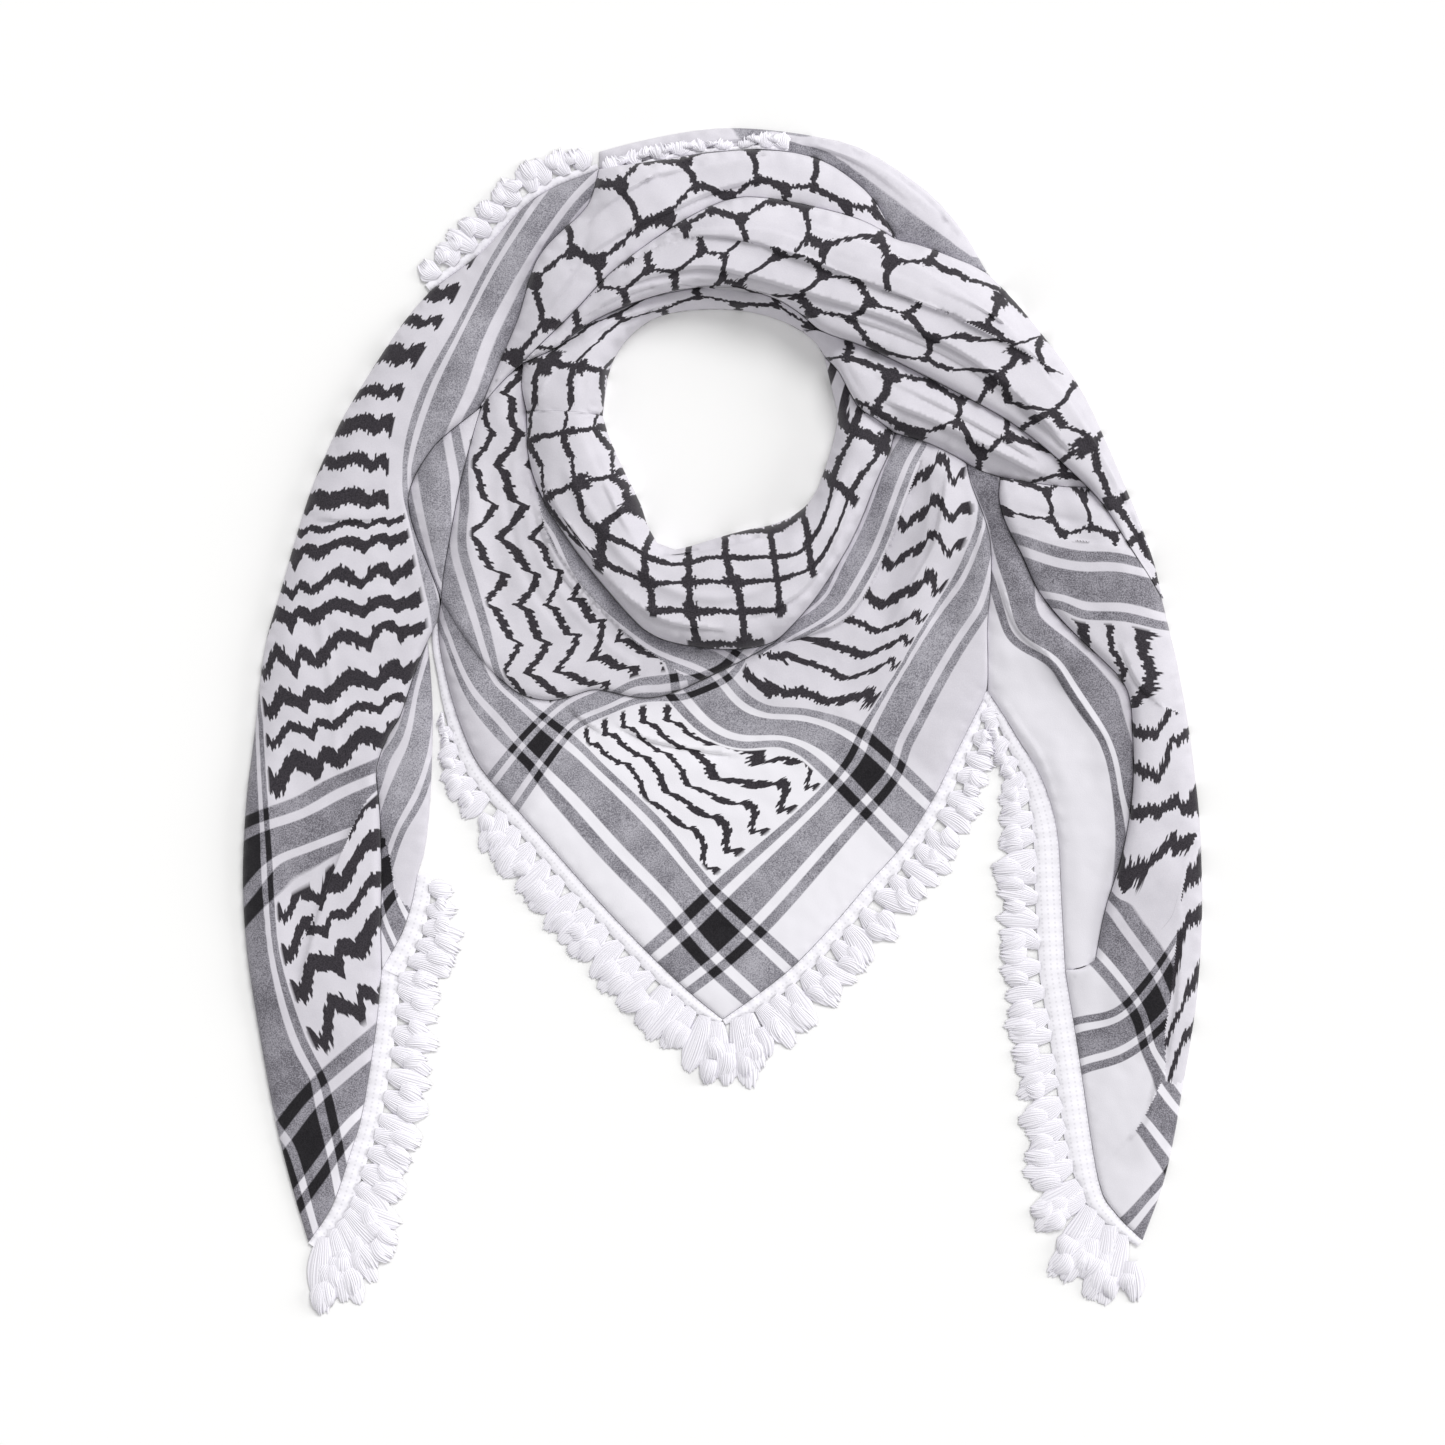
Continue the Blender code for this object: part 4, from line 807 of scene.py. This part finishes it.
def smoothed(flat, faces, height, count, laps, rounds):
    """The heights with the CAD's flat facets smoothed away, but not across a lap."""
    tri = np.array(faces)
    pairs = np.vstack([tri[:, [0, 1]], tri[:, [1, 2]], tri[:, [2, 0]]])
    pairs = np.unique(np.sort(pairs, axis=1), axis=0)
    lap_of = np.zeros(len(flat), int)
    for number, row in enumerate(laps):
        if len(row):
            near = ((flat[:, None] - row[None]) ** 2).sum(2).min(1) < ON_LAP
            lap_of[near] = number + 1
    a, b = lap_of[pairs].T
    pairs = pairs[(a == 0) | (b == 0) | (a == b)]
    a, b = pairs.T
    degree = np.bincount(pairs.ravel(), minlength=len(flat)).astype(float)
    for _ in range(rounds):
        total = (np.bincount(a, height[b], len(flat)) + np.bincount(b, height[a], len(flat)))
        soft = total / np.maximum(degree, 1)
        soft[degree == 0] = height[degree == 0]
        soft[:count] = height[:count]
        height = KEPT * height + EASED * soft
    return height


def crease(points, kind, lift, width, line):
    """A lap, a ridge, or a trough where lift is negative; it dies away at its ends."""
    away, side, along, total = beside(points, smooth_line(line))
    ends = np.clip(np.minimum(along, total - along) / CREASE_ENDS, 0, 1)
    if kind == "soft":
        return lift * np.exp(-(away / width) ** 2) * ends
    high = lift * np.exp(-(away / width) ** LAP_FALL)
    low = -LAP_DIP * lift * np.exp(-(away / (LAP_DIP * width)))
    return np.where(side > 0, high, low) * ends


def linked(name, data):
    """An object in the scene."""
    obj = bpy.data.objects.new(name, data)
    bpy.context.scene.collection.objects.link(obj)
    return obj


def mesh_object(name, points, faces, weave, material):
    """An object of points in mm, with its weave for each point or each corner."""
    mesh = bpy.data.meshes.new(name)
    mesh.from_pydata([tuple(c * MM for c in p) for p in points], [], faces)
    layer = mesh.uv_layers.new(name="weave")
    weave = np.asarray(weave)
    if len(weave) != len(mesh.loops):
        ends = np.empty(len(mesh.loops), int)
        mesh.loops.foreach_get("vertex_index", ends)
        weave = weave[ends]
    layer.data.foreach_set("uv", (weave * MM).astype(np.float32).ravel())
    mesh.shade_smooth()
    mesh.materials.append(material)
    mesh.update()
    return linked(name, mesh)


# ---------------------------------------------------------------- materials
def linear(*srgb):
    """A colour given as sRGB bytes, as the shader takes it."""
    return tuple((c / 255 / 12.92) if c / 255 <= 0.04045 else ((c / 255 + 0.055) / 1.055) ** 2.4
                 for c in srgb) + (1.0,)


OFF_STEP = 0.37          # keeps a random number's whole values off the noise's own steps


def operator(operation):
    """A method that works out one more number from a wire."""
    return lambda self, *others: self.math(operation, *others)


class Wire:
    """A number that a material works out at every point."""

    def __init__(self, tree, socket):
        self.tree, self.socket = tree, socket

    def math(self, operation, *others, clamp=False):
        node = self.tree.nodes.new("ShaderNodeMath")
        node.operation, node.use_clamp = operation, clamp
        for entry, value in zip(node.inputs, (self,) + others):
            if isinstance(value, Wire):
                self.tree.links.new(value.socket, entry)
            else:
                entry.default_value = value
        return Wire(self.tree, node.outputs[0])

    __add__, __sub__ = operator("ADD"), operator("SUBTRACT")
    __mul__, __truediv__ = operator("MULTIPLY"), operator("DIVIDE")
    __abs__, root = operator("ABSOLUTE"), operator("SQRT")
    low, high = operator("MINIMUM"), operator("MAXIMUM")
    floor, fraction = operator("FLOOR"), operator("FRACT")

    def __rsub__(self, other):
        return self.math("MULTIPLY_ADD", -1.0, other)

    def shown(self, soft):
        """1 where the number is above 0 and 0 where it is below, with an edge this soft."""
        return self.math("MULTIPLY_ADD", 1 / soft, 0.5, clamp=True)

    def random(self, seed=0.0):
        """A random number from 0 to 1 for each whole value."""
        node = self.tree.nodes.new("ShaderNodeTexWhiteNoise")
        node.noise_dimensions = "1D"
        self.tree.links.new((self + (seed + OFF_STEP)).socket, node.inputs["W"])
        return Wire(self.tree, node.outputs["Value"])

    def curve(self, points, width, height):
        """A smooth curve through the points, drawn as wide and as high as this."""
        node = self.tree.nodes.new("ShaderNodeFloatCurve")
        line = node.mapping.curves[0]
        while len(line.points) < len(points):
            line.points.new(0.5, 0.5)
        for point, (x, y) in zip(line.points, points):
            point.location = (x / width, y / height)
            point.handle_type = "VECTOR"
        node.mapping.update()
        self.tree.links.new(self.socket, node.inputs["Value"])
        return Wire(self.tree, node.outputs["Value"])


def either(choose, one, other):
    """one where choose is 1, other where it is 0."""
    return (one - other) * choose + other


def new_material(name, settings):
    """A material, its tree and its shader."""
    material = bpy.data.materials.new(name)
    material.use_nodes = True
    shader = material.node_tree.nodes["Principled BSDF"]
    for entry, value in settings.items():
        shader.inputs[entry].default_value = value
    return material, material.node_tree, shader


def weave_wires(tree):
    """A mesh's two weave numbers, in mm."""
    uv = tree.nodes.new("ShaderNodeUVMap")
    uv.uv_map = "weave"
    split = tree.nodes.new("ShaderNodeSeparateXYZ")
    tree.links.new(uv.outputs[0], split.inputs[0])
    return [Wire(tree, split.outputs[k]) * (1 / MM) for k in (0, 1)]


def texture(tree, vector, scale, detail, roughness):
    """A cloudy number that differs from place to place."""
    node = tree.nodes.new("ShaderNodeTexNoise")
    for entry, value in (("Scale", scale), ("Detail", detail), ("Roughness", roughness)):
        node.inputs[entry].default_value = value
    tree.links.new(vector, node.inputs["Vector"])
    return Wire(tree, node.outputs[0])


def mixed(tree, share, one, other):
    """A colour: one where share is 0, other where it is 1."""
    node = tree.nodes.new("ShaderNodeMix")
    node.data_type = "RGBA"
    tree.links.new(share.socket, node.inputs[0])
    for entry, value in ((node.inputs[6], one), (node.inputs[7], other)):
        if isinstance(value, tuple):
            entry.default_value = linear(*value)
        else:
            tree.links.new(value, entry)
    return node.outputs[2]


# The pattern, in mm of p and q. The bands of stripes beside each hem: where their middles
# lie, half the wide stripe, how far out the thin ones lie and half of these.
P_BANDS, Q_BANDS = (28.0, 136.0), (38.0, 168.0)
WIDE, THIN_AT, THIN = 7.5, 14.5, 2.5
# Threads of the black pattern, which give its rows their teeth and their ragged width.
THREAD = 1.3
WAVE_TOOTH, WAVE_RAGGED, NET_TOOTH, NET_RAGGED = 1.8, 1.4, 1.6, 0.7
RAGGED_SEED, ACROSS_SEED, SPOT_SEED = 7.0, 3.0, 5.0
# The wavy rows: where the first lies, their spacing, and the length and height of a wave.
WAVE_START, WAVE_PITCH, WAVE_LENGTH, WAVE_PHASE = 52.5, 15.5, 38.0, 24.5
CREST, CREST_MIDDLE = 12.5, 6.0
BIB_WAVE = [(0, 0), (0.07, 4.2), (0.147, 5), (0.3, 5.2), (0.474, 7.1), (0.54, 11.6),
            (0.66, 10.2), (0.797, 7.4), (0.93, 2.4), (1, 0)]
FAR_WAVE = [(0, 12.0), (0.12, 8), (0.22, 3.6), (0.30, 0), (0.36, 5.5), (0.43, 8), (0.52, 7.2),
            (0.58, 5), (0.63, 0.5), (0.75, 3.5), (0.88, 8), (1, 12.0)]
# How much of the wave's height there is along p.
CREST_SHARE = [(0, 1), (119, 1), (150, 0.3), (161, 0.3), (176, 0.65), (192, 0.6), (207, 0.6),
               (223, 0.8), (240, 1), (600, 1), (790, 0.3), (915, 0.3), (935, 0.5), (950, 0.62),
               (1200, 0.68)]
# Half a row's width, and what every second row has more, on the bib's side and on the far one.
BIB_HALF, BIB_ODD, FAR_HALF, FAR_ODD = 2.0, 0.5, 2.7, 1.3
# On the right tail the rows are heavier, and most of all beside its hem.
TAIL_Q, TAIL_SOFT, TAIL_HEM, TAIL_MORE, TAIL_LEAST = 1000.0, 20.0, 70.0, 0.6, 0.2
# Where the rows start, how near to the bands they come and how far in they reach.
CLEAR_P, CLEAR_Q, BAND_CLEAR_P, BAND_CLEAR_Q = 47.0, 57.0, 18.5, 19.0
CORNER_P, CORNER_Q, CORNER_LESS, CORNER_FROM = 120.0, 150.0, 11.0, 925.0
# The net: a cell's width and height, how far its rails swing, and where it starts.
NET_WIDE, NET_HIGH, NET_ZIGZAG = 37.0, 27.0, 0.17
NET_P, NET_Q = 157.0, 189.0
# Past SQUARE_Q the cells are square, and past ROLL_Q, on the roll, their lines are heavier.
SQUARE_Q, SQUARE_ZIGZAG, ROLL_Q, ROLL_SOFT, ROLL_ZIGZAG = 600.0, 0.13, 720.0, 12.0, 0.1
# Half a rail and half a wall, each with what it has more on the roll; half a knot's width and
# height, and what makes one square cell's knot larger than the next.
RAIL_HALF, ROLL_RAIL, WALL_HALF, ROLL_WALL = 1.5, 0.8, 1.9, 1.2
KNOT_WIDE, KNOT_HIGH, KNOT_ROW, KNOT_MIDDLE = 4.6, 4.2, 7.3, 0.45
# On the roll the net's last two rows stop short of the stripes: from p, at q, this far out.
ROLL_STOPS = [(445.0, 833.0, 62.0), (466.0, 838.0, 32.0)]
# The looks of threads: the two sRGB colours that each is mixed from.
COTTON = {"Roughness": 0.85, "Sheen Weight": 0.15, "Specular IOR Level": 0.2}
BUMP = {"Strength": 0.25, "Distance": 0.0003}
FINE, BLOTCH = (1600.0, 2.0, 0.7), (60.0, 3.0, 0.6)    # scale, detail and roughness
FINE_SHARE, BLOTCH_SHARE, SPECK_FROM = 0.85, 0.35, 0.6
# the second white is painted light, the brighter white of single cloth
WHITE, PAINTED_LIGHT_WHITE = ((196, 193, 201), (230, 227, 234)), (238, 236, 242)
GREY, TAIL_GREY = ((112, 110, 118), (182, 180, 188)), ((72, 69, 76), (150, 147, 156))
CROSSING, BLACK = ((20, 18, 22), (40, 38, 42)), ((36, 33, 38), (66, 62, 68))
# Painted light: single cloth is painted a brighter white, this far from the bib's corner, and
# along the hems, so wide, by this share and up to this far from a corner.
PAINTED_LIGHT_CORNER, PAINTED_LIGHT_HEM_WIDTH, PAINTED_LIGHT_HEM_SHARE, PAINTED_LIGHT_HEM_REACH = 150.0, 24.0, 0.7, 125.0


def band(value, centres):
    """The stripes that run beside a hem: a wide one between two thin ones."""
    found = None
    for centre in centres:
        away = abs(value - centre)
        stripes = (WIDE - away).shown(0.6).high((THIN - abs(away - THIN_AT)).shown(0.6))
        found = stripes if found is None else found.high(stripes)
    return found


def waves_of(p, q, side_p, side_q, tooth, ragged):
    """The wavy rows beside the hems."""
    far = (p - CLOTH / 2).shown(1.0)
    on_tail = (q - TAIL_Q).shown(TAIL_SOFT)
    near_crest = ((WAVE_PHASE - q) / WAVE_LENGTH).fraction().curve(BIB_WAVE, 1, CREST)
    far_crest = (q / WAVE_LENGTH).fraction().curve(FAR_WAVE, 1, CREST)
    share = (p / CLOTH).curve(CREST_SHARE, CLOTH, 1) * (1.0 - on_tail * (0.5 - far * 0.5))
    crest = (either(far, far_crest, near_crest) * CREST - CREST_MIDDLE) * share + CREST_MIDDLE
    level = side_p - crest + (tooth - 0.5) * WAVE_TOOTH - (WAVE_START - CREST_MIDDLE)
    row = (level / WAVE_PITCH + 0.5).floor()
    away = abs(level - row * WAVE_PITCH)
    odd = (row / 2).fraction() * 2
    half = either(far, odd * FAR_ODD + FAR_HALF, odd * BIB_ODD + BIB_HALF)
    half = half + (ragged - 0.5) * WAVE_RAGGED
    at_hem = (TAIL_HEM - p).shown(TAIL_SOFT)
    half = half + on_tail * (1.0 - far) * (at_hem * TAIL_MORE + TAIL_LEAST)
    clear = (side_p - CLEAR_P).low(side_q - CLEAR_Q).shown(2.0)
    clear = clear * (abs(side_p - P_BANDS[1]) - BAND_CLEAR_P).shown(0.8)
    clear = clear * (abs(side_q - Q_BANDS[1]) - BAND_CLEAR_Q).shown(2.0)
    reach = CORNER_Q - far * CORNER_LESS + (p - CORNER_FROM).shown(2.0) * CORNER_LESS
    corner = (CORNER_P - side_p).high(reach - side_q).shown(1.0)
    return (half - away).shown(0.5) * clear * corner


def net_of(p, q, tooth, ragged):
    """The fishnet: zigzag rails, walls across them and a knot where they meet."""
    tooth_p = (p / THREAD).floor().random(ACROSS_SEED)
    high = (p + (tooth - 0.5) * NET_TOOTH) / NET_HIGH
    wide = (q + (tooth_p - 0.5) * NET_TOOTH) / NET_WIDE
    line = (high + 0.5).floor()
    square, roll = (q / SQUARE_Q).floor(), (q - ROLL_Q).shown(ROLL_SOFT)
    swing = NET_ZIGZAG - square * (roll * ROLL_ZIGZAG + NET_ZIGZAG - SQUARE_ZIGZAG)
    offset = 0.5 - square * 0.5
    cell = (wide + line * offset + square * 0.5).fraction()
    rail = abs(high - line - (1.0 - abs(cell - 0.5) * 4.0) * swing) * NET_HIGH
    rail_half = (cell - 0.5).shown(0.02) + roll * ROLL_RAIL + RAIL_HALF
    rails = (rail_half + (ragged - 0.5) * NET_RAGGED - rail).shown(0.5)
    wall = abs((wide + high.floor() * offset + square * 0.5).fraction() - 0.5) * NET_WIDE
    walls = (roll * ROLL_WALL + WALL_HALF - wall).shown(0.5)
    spot = (wide + line * offset + 0.5).floor()
    size = square * ((spot + line * KNOT_ROW).random(SPOT_SEED) - KNOT_MIDDLE) + 1.0
    knot_x = (0.5 - abs((wide + line * offset).fraction() - 0.5)) * NET_WIDE
    knot_x = knot_x / (size * KNOT_WIDE)
    knot_y = abs((high - line) * NET_HIGH + swing * NET_HIGH) / (size * KNOT_HIGH)
    round_knot = knot_x * knot_x + knot_y * knot_y
    block_knot = knot_x.high(knot_y + (ragged - 0.5) * NET_RAGGED)
    knots = (1.0 - either(square, block_knot, round_knot)).shown(0.15)
    net = rails.high(walls).high(knots)
    for stop_p, stop_q, out in ROLL_STOPS:
        net = net * (1.0 - roll * (p - stop_p).shown(2.0) * (abs(q - stop_q) - out).shown(2.0))
    return net


def cloth_material():
    """White cotton with its grey stripes and its black threads."""
    material, tree, shader = new_material("cotton_cloth", COTTON)
    p, q = weave_wires(tree)
    side_p, side_q = p.low(CLOTH - p), q.low(CLOTH - q)
    column = (q / THREAD).floor()
    tooth, ragged = column.random(), column.random(RAGGED_SEED)
    stripes_p, stripes_q = band(side_p, P_BANDS), band(side_q, Q_BANDS)
    middle = (side_p - NET_P).low(side_q - NET_Q).shown(2.0)
    black = waves_of(p, q, side_p, side_q, tooth, ragged).high(
        net_of(p, q, tooth, ragged) * middle)

    # the threads themselves
    place = tree.nodes.new("ShaderNodeTexCoord").outputs["Object"]
    fine = texture(tree, place, *FINE)
    blotch = texture(tree, place, *BLOTCH)
    speck = (fine * FINE_SHARE + blotch * BLOTCH_SHARE - SPECK_FROM).shown(0.25)
    white = mixed(tree, fine * 0.5 + blotch * 0.5, *WHITE)
    # painted light: a brighter white on single cloth, at the bib's corner and along the hems
    corner = (PAINTED_LIGHT_CORNER - p.high(q)).shown(20.0)
    painted_light_hem = (PAINTED_LIGHT_HEM_WIDTH - side_p.low(side_q)).shown(10.0) * PAINTED_LIGHT_HEM_SHARE
    painted_light_hem = painted_light_hem * (PAINTED_LIGHT_HEM_REACH - side_p.high(side_q)).shown(50.0)
    white = mixed(tree, corner.high(painted_light_hem), white, PAINTED_LIGHT_WHITE)
    tail = (p.high(q) - TAIL_Q).shown(TAIL_SOFT) * 0.5
    grey = mixed(tree, tail, mixed(tree, speck, *GREY), mixed(tree, speck, *TAIL_GREY))
    colour = mixed(tree, stripes_p.high(stripes_q), white, grey)
    colour = mixed(tree, stripes_p * stripes_q, colour, mixed(tree, speck, *CROSSING))
    colour = mixed(tree, black, colour, mixed(tree, (fine - 0.5).shown(0.3), *BLACK))
    tree.links.new(colour, shader.inputs["Base Color"])
    bump = tree.nodes.new("ShaderNodeBump")
    for entry, value in BUMP.items():
        bump.inputs[entry].default_value = value
    tree.links.new(fine.socket, bump.inputs["Height"])
    tree.links.new(bump.outputs[0], shader.inputs["Normal"])
    return material


# The tape's stitch holes: their spacing along and across, and their radius. Their grey is painted
# shade.
HOLE_ALONG, HOLE_ACROSS, HOLE = 2.3, 3.2, 0.55
# the last colour is painted shade for the grooves between a bundle's yarns
TAPE, PAINTED_HOLE_SHADE, PAINTED_GROOVE_SHADE = (250, 248, 254), (150, 148, 158), (214, 211, 221)


def fringe_material():
    """White yarn. Across is 1 or more on a tape, -1 in a bundle's grooves and -2 on a yarn."""
    material, tree, shader = new_material("cotton_fringe", COTTON)
    along, across = weave_wires(tree)
    hole_x = abs((along / HOLE_ALONG).fraction() - 0.5) * HOLE_ALONG
    hole_y = abs((across / HOLE_ACROSS).fraction() - 0.5) * HOLE_ACROSS
    # painted shade: the stitch holes are painted grey
    hole_shade = (HOLE - (hole_x * hole_x + hole_y * hole_y).root()).shown(0.3)
    on_tape = (across - 0.5).shown(0.2)
    # painted shade: the grooves between a bundle's yarns are painted grey
    groove_shade = (across + 1.5).shown(0.6) * (-0.5 - across).shown(0.2)
    colour = mixed(tree, hole_shade * on_tape * 0.2, TAPE, PAINTED_HOLE_SHADE)
    colour = mixed(tree, groove_shade * 0.6, colour, PAINTED_GROOVE_SHADE)
    tree.links.new(colour, shader.inputs["Base Color"])
    return material


CLOTH_MATERIAL = cloth_material()
FRINGE_MATERIAL = fringe_material()


# ---------------------------------------------------------------- cloth pieces
for name, nodes in PIECES.items():
    points, faces, weave = [], [], []
    for node in nodes:
        node_points, node_faces, node_weave = shell(node)
        first = sum(len(x) for x in points)
        points.append(node_points)
        weave.append(node_weave)
        faces += [tuple(i + first for i in face) for face in node_faces]
    piece = mesh_object(name, np.vstack(points), faces, np.vstack(weave), CLOTH_MATERIAL)
    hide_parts(*nodes)
    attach(piece, "root")

# one plain sheet closes the scarf from below, with the net at a slant
under_points, under_faces = [], []
for node in (node for nodes in PIECES.values() for node in nodes):
    used = {}
    for t in underside(node):
        for i in t:
            if i not in used:
                used[i] = len(under_points)
                under_points.append((*CAD[node][0][i][:2], UNDER_HEIGHT))
        under_faces.append(tuple(used[i] for i in t))
under = mesh_object("under_layer", np.array(under_points), under_faces,
                    np.array([((x + y) * UNDER_TURN + UNDER_P, (x - y) * UNDER_TURN + UNDER_Q)
                              for x, y, _ in under_points]), CLOTH_MATERIAL)
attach(under, "root")


# ---------------------------------------------------------------- fringe
def bundle(root, ahead, reach, half, narrow, bulge, rng, points, faces, weave):
    """A bundle of yarns that opens out from its root, as one soft dome that the yarns groove."""
    across = np.array([-ahead[1], ahead[0]])
    first, columns = len(points), STRANDS * STRAND_COLUMNS
    reach_of = [rng.uniform(*YARN_REACH) / reach for _ in range(STRANDS)]
    bow_of = [rng.uniform(-YARN_BOW, YARN_BOW) for _ in range(STRANDS)]
    skew, bow = rng.uniform(-SKEW, SKEW), rng.uniform(-BOW, BOW)
    for c in range(columns + 1):
        u = 2 * c / columns - 1
        strand = min(c // STRAND_COLUMNS, STRANDS - 1)
        ridge = abs(math.sin(math.pi * STRANDS * c / columns))
        far = reach * (1 - TIP_ROUND * abs(u) ** TIP_POWER) * (1 + reach_of[strand] * ridge)
        dome = math.sqrt(max(1 - u * u, 0.0))
        for row in range(BUNDLE_ROWS + 1):
            v = math.sin(0.5 * math.pi * row / BUNDLE_ROWS)
            opened = math.sin(0.5 * math.pi * min(OPENS_BY * v, 1.0))
            wide = half * (narrow + (1 - narrow) * opened)
            wide *= 1 - TIP_NARROW * v ** 5
            sway = wide * u + skew * v + (bow + bow_of[strand] * ridge) * math.sin(math.pi * v)
            spot = root + across * sway + ahead * far * v
            crown = 0.0
            if v < 1:
                crown = math.sin(math.pi * (CROWN_START + CROWN_RUN * v)) ** CROWN_POWER
            height = FLOOR_EDGE + bulge * dome * crown
            height += GROOVE * ridge * min(1.0, 2 * dome) * crown
            points.append((spot[0], spot[1], height))
            weave.append((0.0, -1.0 - ridge))
    wide = BUNDLE_ROWS + 1
    for c in range(columns):
        for row in range(BUNDLE_ROWS):
            a = first + c * wide + row
            faces.append((a, a + wide, a + wide + 1, a + 1))


def hem_line(hems):
    """One line along several hems."""
    line = []
    for hem in hems:
        part = np.reshape(HEMS[hem.lstrip("-")], (-1, 2))
        part = part[::-1] if hem.startswith("-") else part
        part = resampled(smooth_line(part), HEM_STEP)
        line += list(part if not line else part[1:])
    return resampled(np.array(line), TAPE_STEP)


def fringe(name, spec):
    """A woven tape along a hem, with loops of yarn."""
    rng = random.Random(name)
    line = hem_line(spec["hems"])
    out = left_of(np.gradient(line, axis=0)) * spec["side"]
    share = np.linspace(0, 1, len(line))
    shares, *columns = np.array(spec["rows"], float).T
    tape, length, lean = [np.interp(share, shares, column) for column in columns]
    lean = np.radians(lean)
    points, faces, weave = [], [], []
    for k, place in enumerate(line):
        for r, z in zip(TAPE_ACROSS, TAPE_HEIGHTS):
            at = place + out[k] * tape[k] * r
            points.append((at[0], at[1], z + RIPPLE * math.sin(k * RIPPLE_RATE)))
            weave.append((k, 1.0 + tape[k] * r))
    wide = len(TAPE_ACROSS)
    for k in range(len(line) - 1):
        for r in range(wide - 1):
            a = k * wide + r
            quad = (a, a + 1, a + wide + 1, a + wide)
            faces.append(quad if spec["side"] < 0 else quad[::-1])
    tips = line + out * tape[:, None] + turned(out, np.cos(lean), np.sin(lean)) * length[:, None]
    fan = np.maximum(np.hypot(*np.gradient(tips, axis=0).T), 1.0)
    at = spec["start"] + BUNDLE_PITCH / 2
    full = True
    while at < len(line) - 1 - spec["end"]:
        k = int(at)
        if length[k] > LEAST_LENGTH:
            turn = lean[k] + rng.uniform(-BUNDLE_TURN, BUNDLE_TURN)
            ahead = turned(out[k], math.cos(turn), math.sin(turn))
            root = line[k] + out[k] * (tape[k] - 1.0)
            reach = length[k] * rng.uniform(*REACH_SHARE) + REACH_MORE
            half = BUNDLE_HALF * (HALF_LEAST + HALF_GROWS * max(reach, HALF_FROM) / HALF_AT)
            kinds = ["long" if full else "short"] + (["on top"] if length[k] > LONG else [])
            for *spans, narrow, bulge in (KINDS[kind] for kind in kinds):
                start, long, broad = [rng.uniform(*span) if isinstance(span, tuple) else span
                                      for span in spans]
                bundle(root + ahead * start * reach, ahead, reach * long, half * broad,
                       narrow, bulge, rng, points, faces, weave)
        at += BUNDLE_PITCH / min(fan[k], MOST_FAN) / 2
        full = not full
    lift = spec.get("lift", 0.0)
    points = [(x, y, z + lift) for x, y, z in points]
    piece = mesh_object(name, points, faces, weave, FRINGE_MATERIAL)
    if name in CAD:
        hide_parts(name)
    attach(piece, "root")
    return piece


fringes = {name: fringe(name, spec) for name, spec in FRINGES.items()}


# ---------------------------------------------------------------- stage
def sun(name, energy, spread, place, turn):
    """A broad light from far off, its spread and turn in degrees."""
    light = bpy.data.lights.new(name, "SUN")
    light.energy, light.angle = energy, math.radians(spread)
    obj = linked(name, light)
    obj.location = place
    obj.rotation_euler = [math.radians(angle) for angle in turn]
    return obj


floor_mesh = bpy.data.meshes.new("floor")
floor_mesh.from_pydata([(-3, -3, 0), (3, -3, 0), (3, 3, 0), (-3, 3, 0)], [], [(0, 1, 2, 3)])
floor = linked("floor", floor_mesh)
floor_mesh.materials.append(new_material("floor", {
    "Base Color": (0.97, 0.968, 0.962, 1), "Roughness": 1.0, "Specular IOR Level": 0.0,
    "Emission Color": (1, 1, 1, 1), "Emission Strength": 0.01})[0])

world = bpy.data.worlds.new("studio")
bpy.context.scene.world = world
world.use_nodes = True
world.node_tree.nodes["Background"].inputs[0].default_value = (1, 1, 1, 1)
world.node_tree.nodes["Background"].inputs[1].default_value = 0.56

key = sun("key", 1.5, 24, (0.2, 1.3, 1.05), (-42, 0, -27))
side = sun("side", 0.9, 26, (1.2, 0.2, 0.5), (-67, 0, -78))

camera_data = bpy.data.cameras.new("camera")
camera_data.lens, camera_data.sensor_width = 120.0, 36.0
camera = linked("camera", camera_data)
camera.location = (0.0, -0.00375, 2.42)
bpy.context.scene.camera = camera
bpy.context.scene.view_settings.view_transform = "Standard"
